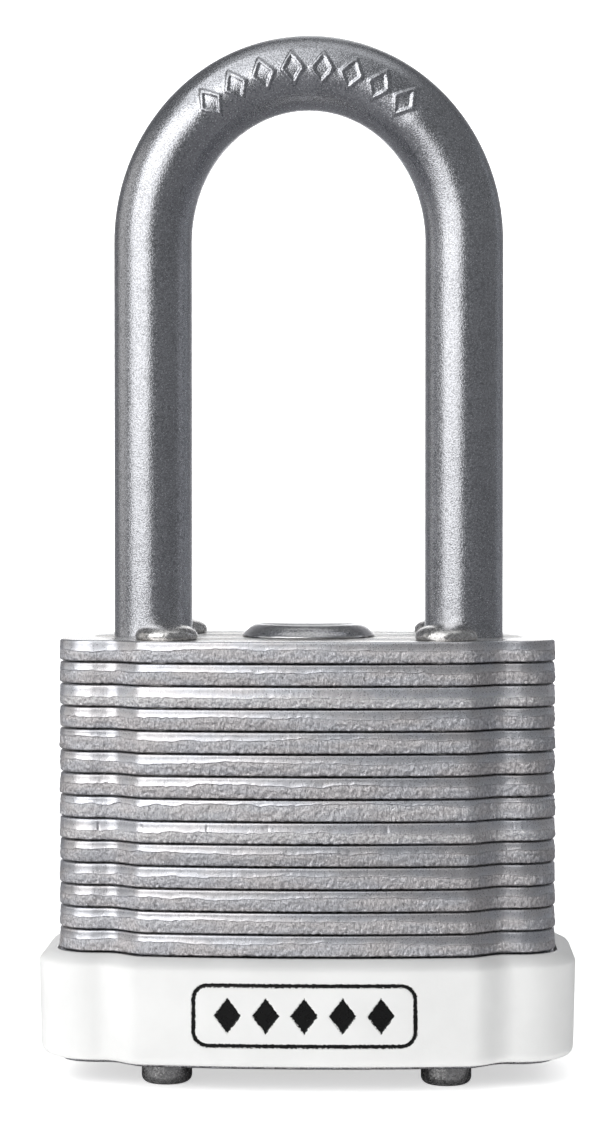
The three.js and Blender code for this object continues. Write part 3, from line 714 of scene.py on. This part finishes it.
def edge_rows(number, x, y, s, seed):
    """The edge of a plate as rows from its top face to its bottom face: a rolled shoulder, the sheared
    band that leans out down to a wavy tear line, a small step in, the grainy torn part and a broken lower
    edge. Gives the depth below the top and the outward offset of each corner, and its band and gap
    values."""
    part, wave, _, cracks = ODD_PLATES.get(number, (s.band, 1.0, 1.0, 0.0))
    rng = np.random.default_rng(seed)
    lip, fall = s.lip * rng.uniform(0.6, 1.3), rng.uniform(-0.05, 0.03)
    along = np.arange(len(x)) / len(x)
    ends = ease((np.abs(x) - 16 * MM) / (3 * MM))
    line = part + 0.07 * wave * lattice(along * 18, 0, seed, 18)
    line = line + 0.05 * wave * lattice(along * 90, 0, seed + 1, 90)
    line = line + 0.03 * lattice(along * 300, 0, seed + 2, 300)
    line = line + 0.1 * ends * rng.uniform(-0.4, 1)
    tear_line = np.clip(line, 0.14, 0.8) * THICKNESS
    roll = np.linspace(0, math.pi / 2, 5)
    depth = [s.roll_down * (1 - math.cos(a)) + 0 * x for a in roll]
    push = [-lip - s.roll_in * (1 - math.sin(a)) + 0 * x for a in roll]
    crack = cracks * 0.05 * MM * ease((lattice(along * 260, 0, seed + 5, 260) - 0.62) / 0.2)
    for t in (0.25, 0.5, 0.75, 0.9, 1.0):
        depth.append(s.roll_down + (tear_line - s.roll_down) * t)
        swell = 0.012 * MM * lattice(along * 60, t, seed + 3, 60)
        push.append(np.minimum(swell - crack - 0.01 * MM, 0) - lip * (1 - t**2))
    foot = THICKNESS - EDGE
    for t in np.linspace(0.04, 1, 10):
        depth.append(tear_line + (foot - tear_line) * t)
        grain = lattice(along * 460, t * 5, seed + 4, 460)
        grain = grain + 0.7 * lattice(along * 800, t * 8, seed + 6, 800)
        slope = 1.9 - 1.7 * ease(t / 0.35) + 0.5 * t**3
        rough = s.grain * 0.5 * (grain - 0.6) * min(1, t * 3)
        push.append(-s.tear * slope + rough - fall * t * (foot - tear_line))
    depth.append(THICKNESS + 0 * x)
    push.append(push[-1] - 0.12 * MM)
    depth, push = np.array(depth), np.array(push)
    band = (tear_line - depth) / MM
    # distance from the crack above or below, which the plate steel uses to paint shade into the gaps
    gap = np.minimum(THICKNESS - depth, depth + EDGE) / MM
    return depth, push, band, gap


def hole_walls(hole, low_z, high_z):
    """A hole's wall as three rings: a slightly wider one at the top face, and the hole just below it and at
    the bottom face."""
    middle = hole.mean(0)
    wider = middle + (hole - middle) * (1 + EDGE / np.abs(hole - middle).max())
    rings = ((wider, high_z), (hole, high_z - EDGE), (hole, low_z))
    return np.concatenate([np.column_stack([ring, np.full(len(hole), z)]) for ring, z in rings])


def flat_faces(points, top, bottom):
    """Triangles between the outer ring and the holes' rings, for the top face and the bottom face. The
    rings are lists of corner numbers that match one to one."""
    loops = [[Vector(p) for p in points[ring]] for ring in top]
    flat = np.array(tessellate_polygon(loops))
    upper, lower = np.concatenate(top)[flat], np.concatenate(bottom)[flat]
    a, b, c = (points[upper[:, k], :2] for k in range(3))
    clockwise = np.cross(b - a, c - a) < 0
    upper[clockwise] = upper[clockwise][:, ::-1]
    lower[~clockwise] = lower[~clockwise][:, ::-1]
    return upper, lower


def make_plate(number, node, s, material):
    """One stamped plate: its edge as a grid of rows pushed along the outline's normals, its holes as short
    walls, and the two flat faces between them. A plate hidden in the bumper is coarser."""
    low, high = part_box(node)
    grow = high.x - HALF_WIDTH
    hidden = high.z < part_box("bumper")[1].z - EDGE and number > 1
    columns = 240 if hidden else 1600
    x, y = outline(even_steps(columns, s), grow, s)
    ahead_x, ahead_y = np.roll(x, -1) - np.roll(x, 1), np.roll(y, -1) - np.roll(y, 1)
    size = np.hypot(ahead_x, ahead_y)
    normal_x, normal_y = ahead_y / size, -ahead_x / size
    depth, push, band, gap = edge_rows(number, x, y, s, 100 * number)
    rows = len(depth)
    edge = np.stack([x + normal_x * push, y + normal_y * push, high.z - depth], -1)
    points = [edge.reshape(-1, 3)]
    faces = [grid_faces(rows, columns)]
    values = {"band": [band.ravel()], "gap": [gap.ravel()], "flat": [np.zeros(rows * columns)]}
    values["flat"][0][:columns] = 1
    top = [np.arange(columns)]
    bottom = [np.arange(columns) + (rows - 1) * columns]
    start = rows * columns
    for hole in plate_holes(number):
        count = len(hole)
        points.append(hole_walls(hole, low.z, high.z))
        faces.append(grid_faces(3, count, inward=True, start=start))
        top.append(np.arange(count) + start)
        bottom.append(np.arange(count) + start + 2 * count)
        # a small gap value on the hole walls, which darkens them slightly as painted shade
        values["band"].append(np.full(3 * count, -0.5))
        values["gap"].append(np.full(3 * count, 0.1))
        values["flat"].append(np.repeat([1.0, 0.6, 0.3], count))
        start += 3 * count
    points = np.concatenate(points)
    faces += flat_faces(points, top, bottom)
    usual_tone = 0.94 + 0.1 * ((number * 7) % 5) / 4
    tone = ODD_PLATES.get(number, (0, 0, usual_tone, 0))[2]
    attributes = {key: np.concatenate(v) for key, v in values.items()}
    attributes["tone"] = np.full(len(points), tone)
    build(f"stamped_{node}", points, faces, "base", material, [node], attributes, 50)


# ---------- the shackle ----------


def bow_marks(along, across, theta, reach, s):
    """How far the bow's surface is lifted: a row of lozenge outlines on its front, on a strip that is
    pressed slightly in. along is the way from the crown and across the height in the section."""
    place = along / s.mark_pitch + s.marks / 2
    mark = np.clip(np.floor(place), 0, s.marks - 1)
    local = (place - mark - 0.5) * s.mark_pitch
    upright = across - 0.25 * MM
    half_wide, half_tall, half_stroke, inset = 1.2, 1.8, 0.17 * MM, 0.2 * MM
    lozenge = np.abs(local) / half_wide + np.abs(upright) / half_tall - 1 * MM
    stroke = half_stroke - np.abs(lozenge + inset)
    front = np.clip((-np.sin(theta) - 0.25) / 0.2, 0, 1)
    raised = ease(stroke / (0.1 * MM) + 0.5) * front
    strip = ease((reach - 1.0 * MM - np.abs(along)) / (1.5 * MM))
    strip = strip * ease((2.2 * MM - np.abs(upright)) / (0.7 * MM))
    uneven = 0.8 + 0.2 * lattice(along / (1.1 * MM) + 40, upright / (1.1 * MM) + 9, 11)
    return s.mark_height * (raised * uneven - 0.35 * strip * front)


def make_shackle(s, material):
    """The bar swept up the toe leg, over the bow, which is half an ellipse, and down the heel leg. d is the
    way walked along it and theta the turn round it. Its section is a circle, cut flat in the two notches,
    thinner at the waist, pressed flatter inside the bow, with raised lozenges on the bow's front."""
    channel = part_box("plate_16")[0].z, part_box("plate_17")[1].z
    notch_low, notch_high = channel[0] + SLIP - FREE, channel[1] - SLIP + FREE
    toe_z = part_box("plate_13")[1].z + TOE_ROOM
    heel_z = shackle_low.z
    neck_low = heel_z + s.foot
    neck_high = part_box("heel_retainer")[1].z + FREE
    toe_length = BOW_Z - toe_z
    bow_turns = np.linspace(0, math.pi, 721)
    pace = np.hypot(LEG_X * np.sin(bow_turns), BOW_HEIGHT * np.cos(bow_turns))
    bow_walk = np.concatenate([[0], np.cumsum((pace[1:] + pace[:-1]) / 2 * np.diff(bow_turns))])
    bow_length = bow_walk[-1]
    whole = toe_length + bow_length + BOW_Z - heel_z
    heel_start = toe_length + bow_length

    def jump(at):
        """Two stations so close that the section changes in a step."""
        return [at - 1e-7, at + 1e-7]

    def heel_at(z):
        """The station at a height on the heel leg."""
        return heel_start + BOW_Z - z

    toe_notch = [notch_low - toe_z, notch_high - toe_z]
    heel_notch = [heel_at(notch_high), heel_at(notch_low)]
    neck = [heel_at(neck_high), heel_at(neck_low)]
    chamfer = 0.7 * MM
    crown = toe_length + bow_length / 2
    reach = (s.marks / 2 + 0.6) * s.mark_pitch
    rounding = chamfer * (1 - np.cos(np.linspace(0, math.pi / 2, 6)))
    leg_step, bow_step, mark_step = 1.2 * MM, 0.5 * MM, 0.116 * MM
    stations = np.unique(np.concatenate([
        rounding,
        np.arange(chamfer, whole - chamfer, leg_step),
        whole - rounding,
        np.arange(toe_length, heel_start, bow_step),
        np.arange(crown - reach, crown + reach, mark_step),
        *[jump(at) for at in (*toe_notch, *heel_notch, *neck)],
    ]))
    columns = 200
    d = stations[:, None]
    theta = (np.arange(columns) * TAU / columns)[None, :]
    end = np.minimum(d, whole - d)
    near = 1 - np.clip(end / chamfer, 0, 1)
    rounded = chamfer * (1 - np.sqrt(np.clip(1 - near**2, 0, 1)))
    radius = np.where((d > neck[0]) & (d < neck[1]), s.neck / 2, BAR - rounded)
    along = d - crown
    bow_share = ease(1 - np.abs(along) / (bow_length / 2))
    across = radius * np.cos(theta)
    deep = radius * np.sin(theta)
    belt = 0.4 * np.clip(-np.cos(theta), 0, 1) + 0.6 * ease((-np.cos(theta) - 0.6) / 0.1)
    across = across + s.flat * bow_share * belt
    lift = bow_marks(along, across, theta, reach, s)
    across = across + lift * np.cos(theta)
    deep = deep + lift * np.sin(theta)
    for start, stop in (toe_notch, heel_notch):
        in_notch = (d > start) & (d < stop)
        across = np.where(in_notch, np.maximum(across, -(BAR - s.notch)), across)
    turn = np.interp(d - toe_length, bow_walk, bow_turns)
    pace = np.hypot(LEG_X * np.sin(turn), BOW_HEIGHT * np.cos(turn))
    x = LEG_X * np.cos(turn) + across * BOW_HEIGHT * np.cos(turn) / pace
    z = BOW_Z + BOW_HEIGHT * np.sin(turn) + across * LEG_X * np.sin(turn) / pace
    z = z - np.clip(toe_length - d, 0, None) - np.clip(d - heel_start, 0, None)
    y = np.broadcast_to(deep, x.shape)
    points = np.stack([x, y, z], -1).reshape(-1, 3)
    points, faces = closed_ends(points, len(stations), columns, inward=True)
    build("shackle_bar", points, faces, "shackle", material, ["shackle"], None, 42)


# ---------- the bumper ----------


def rounded_box(x, z, half_x, half_z, corner):
    """Distance to a rectangle with round corners, below 0 inside."""
    dx = np.abs(x) - half_x + corner
    dz = np.abs(z) - half_z + corner
    return np.hypot(np.maximum(dx, 0), np.maximum(dz, 0)) + np.minimum(np.maximum(dx, dz), 0) - corner


def bumper_rows(s, low, high, middle, wall_top, wall_bottom):
    """The bumper's section as (outward offset, height) rows: rim, chamfer, wall with fine rows behind the
    engraving, a quarter circle at the lower edge, and the inner wall."""
    inner = SLIP
    outer = SLIP + s.wall
    rim_round = 0.12 * MM
    rows = [(inner + 0.05 * MM, high.z)]
    rows += [(inner + 0.35 * MM, high.z), (inner + 0.55 * MM, high.z - 0.05 * MM)]
    rows += [(outer - 0.35 * MM, wall_top + 0.42 * MM), (outer - 0.12 * MM, wall_top + 0.14 * MM)]
    rows += [(outer - 0.03 * MM, wall_top), (outer, wall_top - 0.18 * MM)]
    half_frame, margin, step = s.frame_height / 2, 0.4 * MM, 0.085 * MM
    fine = np.arange(middle - half_frame - margin, middle + half_frame + margin, step)
    heights = np.concatenate([fine[::-1], [wall_bottom]])
    heights = np.concatenate([np.linspace(wall_top - 0.5 * MM, fine[-1] + 0.1 * MM, 4), heights])
    fall = (wall_top - heights) / (wall_top - wall_bottom)
    rows += list(zip(outer - s.draft * fall, heights))
    bottom = outer - s.draft
    rows += [(bottom - s.rounding * (1 - math.cos(a)), wall_bottom - s.rounding * math.sin(a))
             for a in np.linspace(0, math.pi / 2, 7)[1:]]
    rows += [(inner + rim_round, low.z), (inner, low.z + rim_round), (inner, high.z - rim_round)]
    return rows


def engraved_marks(x, z, s):
    """Distance to the engraved line of a rounded frame and to five lozenges in it, below 0 inside."""
    half_line = s.line / 2
    ring = rounded_box(
        x, z, s.frame_width / 2 - half_line, s.frame_height / 2 - half_line, s.frame_corner
    )
    pitch, half_wide, half_tall, slant = 3.5 * MM, 1.25, 1.65, 0.78
    number = np.clip(np.round(x / pitch), -2, 2)
    lozenge = (np.abs(x - number * pitch) / half_wide + np.abs(z) / half_tall - 1 * MM) * slant
    return np.minimum(np.abs(ring) - half_line, lozenge)


def make_bumper(s, plate, material):
    """A ring round the lowest plates, as the plates' outline moved outwards row by row and closed on
    itself. On its front a frame and five lozenges are engraved and painted."""
    low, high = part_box("bumper")
    middle = (low.z + high.z) / 2 - 0.1 * MM
    wall_top, wall_bottom = high.z - s.chamfer, low.z + s.rounding
    section = bumper_rows(s, low, high, middle, wall_top, wall_bottom)
    grow, height = (np.array(v)[:, None] for v in zip(*section))
    half = s.frame_width / 2 + 0.6 * MM

    def on_front(x, y):
        """Where the front may be engraved."""
        return (y < 0) & (np.abs(x) < half)

    def finer(x, y):
        """More columns where the front is engraved."""
        return np.where(on_front(x, y), 4.2, 1.0)

    columns = 620
    x, y = outline(even_steps(columns, plate, finer)[None, :], grow, plate)
    marks = engraved_marks(x, height - middle, s)
    mask = on_front(x, y) & (height < wall_top) & (height > wall_bottom)
    ink = np.where(mask, -marks / MM, -1)
    y = y + np.where(mask, s.engraving * ease(0.5 - marks / (0.08 * MM)), 0)
    points = np.stack(np.broadcast_arrays(x, y, height), -1).reshape(-1, 3)
    faces = [grid_faces(len(grow), columns, wrap_rows=True)]
    attributes = {"ink": ink}
    build("bumper_shell", points, faces, "base", material, ["bumper"], attributes, 38)


# ---------- turned pieces and springs ----------


def turned(name, node, profile, x, y, columns, material, wobble, seed):
    """A piece turned round an upright axis at x and y, from (radius, height) rows that run from its top to
    its bottom, closed by a corner at each pole. wobble makes the surface slightly uneven."""
    radius, height = (np.array(v)[:, None] for v in zip(*profile))
    angle = (np.arange(columns) * TAU / columns)[None, :]
    uneven = lattice(angle / TAU * 9, height / (0.8 * MM), seed, 9)
    wide = radius * (1 + wobble * uneven)
    z = height + wobble * 0.5 * MM * lattice(angle / TAU * 7, radius / (0.7 * MM), seed + 1, 7)
    points = np.stack([x + wide * np.cos(angle), y + wide * np.sin(angle), z], -1).reshape(-1, 3)
    points, faces = closed_ends(points, len(radius), columns)
    build(name, points, faces, "base", material, [node], None, 48)


def arc(radius, height, wide, high, start, end, count):
    """Points on an ellipse round (radius, height), from one angle to another."""
    angle = np.linspace(start, end, count)
    return list(zip(radius + wide * np.cos(angle), height + high * np.sin(angle)))


def make_rivet(node, s, material, seed):
    """A rivet: a domed head with a round lip, the shank, and a flat stub with a well rounded edge."""
    low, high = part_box(node)
    place = centre(node)
    head = high.y - place.y
    seat = high.z - s.head_height
    lip, edge = 0.3 * MM, 0.7 * MM
    profile = [(POLE, high.z)]
    profile += [(head * math.sin(a), seat + lip + (s.head_height - lip) * math.cos(a) ** 0.9)
                for a in np.linspace(0.06, math.pi / 2 - 0.02, 22)]
    profile += [(head, seat + 0.15 * MM), (head - 0.1 * MM, seat), (SHANK, seat)]
    profile += [(SHANK, low.z + 8 * MM), (SHANK, low.z + 0.8 * MM)]
    profile += arc(SHANK - edge, low.z + edge, edge, edge, 0, -math.pi / 2, 10)
    profile += [(POLE, low.z)]
    turned(f"turned_{node}", node, profile, place.x, place.y, 96, material, 0.006, seed)


def make_cap(s, material):
    """The wide pressed cap: a flat top with a soft edge, a flank that slopes faster and faster, a thin rim
    and a stem."""
    low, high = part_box("top_cap")
    rim, flat = high.x, s.cap_flat / 2
    seat = BODY_TOP + 0.04 * MM
    softness = 0.34 * MM
    profile = [(POLE, high.z - 0.06 * MM), (flat * 0.5, high.z - 0.04 * MM), (flat * 0.8, high.z)]
    profile += arc(flat * 0.9, high.z - softness, flat * 0.1 + 0.5 * MM, softness, math.pi / 2, 0.5, 8)
    start = profile[-1]
    slope = np.linspace(0.12, 1, 10)
    fall = start[1] - seat - s.cap_rim
    profile += [(start[0] + (rim - start[0] - 0.08 * MM) * t, start[1] - fall * t**1.7) for t in slope]
    half_rim = s.cap_rim / 2
    profile += arc(rim - half_rim, seat + half_rim, half_rim, half_rim, 1.2, -math.pi / 2, 8)
    profile += [(STEM, seat), (STEM, low.z), (POLE, low.z)]
    turned("pressed_top_cap", "top_cap", profile, 0, 0, 128, material, 0.003, 5)


def coil(radius, wire, start, end, turns, axis):
    """A helix of round wire from one point to another along X or Z: the angle grows evenly while the climb
    is slow in the end turns, which lie close together as ground spring ends do."""
    steps, sides = int(turns * 28), 14
    t = np.linspace(0, 1, steps)[:, None]
    angle = t * turns * TAU
    closing = 1.2 / turns
    rise = np.clip((t - closing * 0.7) / (1 - 1.4 * closing), 0, 1)
    room = (end - start) - wire * 2
    climb = start + wire / 2 + wire * np.clip(t / closing, 0, 1) * 0.5 + rise * room
    climb = climb + wire * 0.5 * np.clip((t - 1 + closing) / closing, 0, 1)
    around = (np.arange(sides) * TAU / sides)[None, :]
    out = radius + wire / 2 * np.cos(around)
    lift = climb + wire / 2 * np.sin(around)
    a, b = out * np.cos(angle), out * np.sin(angle)
    order = (a, b, lift) if axis == "Z" else (lift, a, b)
    return closed_ends(np.stack(order, -1).reshape(-1, 3), steps, sides)


def make_spring(node, axis, wire, turns, material, blended=False):
    """A coil spring in the place of a CAD spring, on its body unless it is to be blended."""
    low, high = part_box(node)
    place = centre(node)
    if axis == "Z":
        radius, start, end = (high.x - low.x - wire) / 2, low.z, high.z
        shift = (place.x, place.y, 0)
    else:
        radius, start, end = (high.y - low.y - wire) / 2, low.x, high.x
        shift = (0, place.y, place.z)
    points, faces = coil(radius, wire, start, end, turns, axis)
    body = None if blended else body_of(frame["nodes"][node])[0]
    points = points + np.array(shift)
    name = f"wound_{node}"
    return build(name, points, faces, body, material, [node], None, 60)


# ---------- the stage ----------


def link(name, data):
    """A new object in the scene."""
    made = bpy.data.objects.new(name, data)
    bpy.context.scene.collection.objects.link(made)
    return made


def paper_material(s):
    """Matt paper that gives off a little light. Metal mirrors it darker than it is, all but a bright card
    on the backdrop behind the lock."""
    paper, n = empty_material("Paper")
    mirrored = n.add("ShaderNodeLightPath").outputs["Is Glossy Ray"]
    across, away, _ = n.add("ShaderNodeSeparateXYZ", {0: n.object_place()}).outputs
    central = n.span(n.maths("ABSOLUTE", across), 0.1, 0.25, 1.0, 0.0)
    card = n.maths("MULTIPLY", central, n.span(away, 0.3, 0.55))
    shade = n.mix(mirrored, s.paper, n.mix(card, s.mirrored, s.horizon))
    glow = n.maths("MULTIPLY", n.maths("SUBTRACT", 1.0, mirrored), s.glow)
    n.surface(shade, 0.9, Specular_IOR_Level=0.0, Emission_Color=(1, 1, 1, 1), Emission_Strength=glow)
    return paper


def make_backdrop(s):
    """The floor, a quarter circle up at its back, and the upright backdrop."""
    paper = paper_material(s)
    half_width, front, back, sweep, top = 1.2, -1.2, 0.9, 0.35, 1.2
    turn = np.linspace(0, math.pi / 2, 24)
    depth = np.concatenate([[front], back - sweep + sweep * np.sin(turn), [back]])
    height = np.concatenate([[0], sweep * (1 - np.cos(turn)), [top]])
    xs, ys, zs = np.broadcast_arrays([[-half_width, half_width]], depth[:, None], height[:, None])
    points = np.stack([xs, ys, zs], -1)
    r = np.arange(len(depth) - 1)
    quads = np.stack([2 * r, 2 * r + 1, 2 * r + 3, 2 * r + 2], -1)
    mesh = bpy.data.meshes.new("Floor")
    mesh.from_pydata(points.reshape(-1, 3).tolist(), [], quads.tolist())
    mesh.shade_smooth()
    mesh.materials.append(paper)
    link("Floor", mesh)


def aim_lamp(name, turn, rise, away, target, size, glow, tint, behind=False):
    """A soft rectangular lamp at a turn in degrees from the front towards +X and a rise above the level,
    aimed at a point. glow is the brightness of its face, so its power follows from its area. behind puts it
    on the far side of the point, with a narrower beam."""
    turn, rise = math.radians(turn), math.radians(rise)
    lamp = bpy.data.lights.new(name, "AREA")
    lamp.shape = "RECTANGLE"
    lamp.size, lamp.size_y = size
    lamp.energy = glow * math.pi * size[0] * size[1]
    lamp.color = tint
    holder = link(name, lamp)
    towards = Vector((
        math.sin(turn) * math.cos(rise),
        -math.cos(turn) * math.cos(rise),
        math.sin(rise),
    ))
    if behind:
        towards.y = -towards.y
        lamp.spread = math.radians(90)
    holder.location = Vector(target) + towards * away
    holder.rotation_euler = (-towards).to_track_quat("-Z", "Y").to_euler()


def make_lamps():
    """Soft lamps round the lock, and one that washes the backdrop."""
    target = (0, 0, BODY_TOP)
    for name, turn, rise, away, size, glow, tint in (
        ("Left panel", -38, 6, 0.5, (0.54, 0.62), 1.55, (1.0, 0.99, 0.98)),
        ("Far left panel", -98, 5, 0.55, (0.36, 0.6), 0.45, (1.0, 0.97, 0.93)),
        ("Right strip", 120, 4, 0.45, (0.04, 0.5), 0.42, (0.86, 0.92, 1.0)),
        ("High front panel", -34, 46, 0.6, (0.58, 0.5), 1.0, (1.0, 1.0, 1.0)),
        ("Top panel", 0, 88, 0.7, (0.7, 0.5), 0.42, (1.0, 1.0, 1.0)),
    ):
        aim_lamp(name, turn, rise, away, target, size, glow, tint)
    aim_lamp("Back wash", 180, 50, 0.95, (0, 0.75, 0.1), (1.0, 0.3), 2.6, (1, 1, 1), behind=True)


def make_room(s):
    """Light from all round, brighter from the left, dim in the metal and white to the camera."""
    world = bpy.data.worlds.new("Room")
    bpy.context.scene.world = world
    world.use_nodes = True
    world.node_tree.nodes.clear()
    n = Nodes(world.node_tree)
    rays = n.add("ShaderNodeLightPath").outputs
    towards = n.add("ShaderNodeTexCoord").outputs["Generated"]
    aside = n.add("ShaderNodeSeparateXYZ", {0: towards}).outputs["X"]
    diffuse = n.maths("MULTIPLY", n.span(aside, -1.0, 1.0, 1.3, 0.45), s.room)
    level = n.span(rays["Is Glossy Ray"], 0.0, 1.0, diffuse, s.gloom)
    level = n.maths("MAXIMUM", level, rays["Is Camera Ray"])
    light = n.add("ShaderNodeBackground", {"Color": (0.95, 0.97, 1.0, 1), "Strength": level})
    n.add("ShaderNodeOutputWorld", {"Surface": light.outputs[0]})


def make_camera(s):
    """A camera in front of the lock, a little to the right and above."""
    lens = bpy.data.cameras.new("Camera")
    lens.lens = s.lens
    lens.sensor_width = 36
    lens.clip_start, lens.clip_end = 0.01, 10
    camera = link("Camera", lens)
    shift = -0.14 * MM
    camera.location = (
        shift + s.distance * math.sin(s.azimuth),
        -s.distance * math.cos(s.azimuth),
        s.height,
    )
    camera.rotation_euler = (math.pi / 2 - s.pitch, 0, s.azimuth)
    bpy.context.scene.camera = camera


# ---------- operators ----------


class PADLOCK_OT_plates(bpy.types.Operator):
    """Make the stamped plates"""

    bl_idname = "padlock.plates"
    bl_label = "Plates"

    def execute(self, context):
        s = context.scene.padlock.plate
        material = plate_steel(s)
        for number, node in enumerate(PLATES, start=1):
            make_plate(number, node, s, material)
        return {"FINISHED"}


class PADLOCK_OT_shackle(bpy.types.Operator):
    """Make the shackle"""

    bl_idname = "padlock.shackle"
    bl_label = "Shackle"

    def execute(self, context):
        s = context.scene.padlock.shackle
        make_shackle(s, metal("Plated steel", s.steel, 0.2, 7500.0, 0.026, 0.13, clouds=0.3))
        return {"FINISHED"}


class PADLOCK_OT_bumper(bpy.types.Operator):
    """Make the plastic bumper"""

    bl_idname = "padlock.bumper"
    bl_label = "Bumper"

    def execute(self, context):
        settings = context.scene.padlock
        make_bumper(settings.bumper, settings.plate, bumper_plastic(settings.bumper))
        return {"FINISHED"}


class PADLOCK_OT_rivets(bpy.types.Operator):
    """Make the rivets"""

    bl_idname = "padlock.rivets"
    bl_label = "Rivets"

    def execute(self, context):
        s = context.scene.padlock.fitting
        material = metal("Rivet steel", s.rivet, 0.24, 4200.0, 0.02, 0.1, clouds=0.5)
        for seed, node in enumerate(RIVETS):
            make_rivet(node, s, material, 20 + seed)
        return {"FINISHED"}


class PADLOCK_OT_cap(bpy.types.Operator):
    """Make the cap in the middle of the top plate"""

    bl_idname = "padlock.cap"
    bl_label = "Cap"

    def execute(self, context):
        s = context.scene.padlock.fitting
        make_cap(s, metal("Cap steel", s.cap, 0.16, 5200.0, 0.012, 0.06))
        return {"FINISHED"}


class PADLOCK_OT_springs(bpy.types.Operator):
    """Make the springs; the shackle spring and the dog spring stretch or shorten with their joints"""

    bl_idname = "padlock.springs"
    bl_label = "Springs"

    def execute(self, context):
        s = context.scene.padlock.fitting
        wire = metal("Spring wire", s.wire, 0.3, 9000.0, 0.01, 0.08)
        low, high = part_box("shackle_spring")
        shackle_spring = make_spring("shackle_spring", "Z", SHACKLE_WIRE, 6, wire, blended=True)
        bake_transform(shackle_spring, "base", "shackle", (0, 0, low.z), (0, 0, high.z))
        low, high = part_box("dog_spring")
        dog_spring = make_spring("dog_spring", "X", SMALL_WIRE, 9, wire, blended=True)
        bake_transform(dog_spring, "base", "toe_dog", (low.x, 0, 0), (high.x, 0, 0))
        for node in PIN_SPRINGS:
            low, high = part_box(node)
            pin_spring = make_spring(node, "X", SMALL_WIRE, 5, wire)
            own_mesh(pin_spring)
        return {"FINISHED"}


class PADLOCK_OT_inner_parts(bpy.types.Operator):
    """Give the cylinder, cam, dogs and retainer their metals"""

    bl_idname = "padlock.inner_parts"
    bl_label = "Inner parts"

    def execute(self, context):
        s = context.scene.padlock.fitting
        brass = metal("Turned brass", s.brass, 0.28, 5000.0, 0.015, 0.1, streak=(1, 1, 0.12))
        steel = metal("Inner steel", s.tool_steel, 0.36, 5000.0, 0.02, 0.1, streak=(0.12, 1, 1))
        slots = {row["node"]: row["material_slot"] for row in frame["record"]["subparts"]}
        materials = {"brass": brass, "inner_steel": steel, "spring_steel": steel}
        for node, piece in frame["nodes"].items():
            if not piece.hide_render:
                piece.data.materials.clear()
                piece.data.materials.append(materials[slots[node]])
        return {"FINISHED"}


class PADLOCK_OT_stage(bpy.types.Operator):
    """Make the floor, the lamps and the camera"""

    bl_idname = "padlock.stage"
    bl_label = "Stage"

    def execute(self, context):
        s = context.scene.padlock.stage
        make_backdrop(s)
        make_lamps()
        make_room(s)
        make_camera(s)
        context.scene.view_settings.view_transform = "Standard"
        return {"FINISHED"}


class PADLOCK_PT_panel(bpy.types.Panel):
    """The padlock's pieces in the sidebar"""

    bl_idname = "PADLOCK_PT_panel"
    bl_label = "Padlock"
    bl_space_type = "VIEW_3D"
    bl_region_type = "UI"
    bl_category = "Padlock"

    def draw(self, context):
        for operator in OPERATORS:
            self.layout.operator(operator.bl_idname)
        for group in ("plate", "shackle", "bumper", "fitting", "stage"):
            settings = getattr(context.scene.padlock, group)
            column = self.layout.column(heading=group.capitalize())
            for key in settings.__annotations__:
                column.prop(settings, key)


OPERATORS = (
    PADLOCK_OT_plates,
    PADLOCK_OT_shackle,
    PADLOCK_OT_bumper,
    PADLOCK_OT_rivets,
    PADLOCK_OT_cap,
    PADLOCK_OT_springs,
    PADLOCK_OT_inner_parts,
    PADLOCK_OT_stage,
)

CLASSES = (
    PadlockPlateSettings,
    PadlockShackleSettings,
    PadlockBumperSettings,
    PadlockFittingSettings,
    PadlockStageSettings,
    PadlockSettings,
    *OPERATORS,
    PADLOCK_PT_panel,
)


def register():
    """Make the settings, operators and panel known."""
    for cls in CLASSES:
        bpy.utils.register_class(cls)
    bpy.types.Scene.padlock = PointerProperty(type=PadlockSettings)


def unregister():
    """Take them away again, in reverse."""
    del bpy.types.Scene.padlock
    for cls in reversed(CLASSES):
        bpy.utils.unregister_class(cls)


def main():
    """Build every piece and the stage."""
    register()
    for operator in OPERATORS:
        group, name = operator.bl_idname.split(".")
        getattr(getattr(bpy.ops, group), name)()


if __name__ == "__main__":
    main()
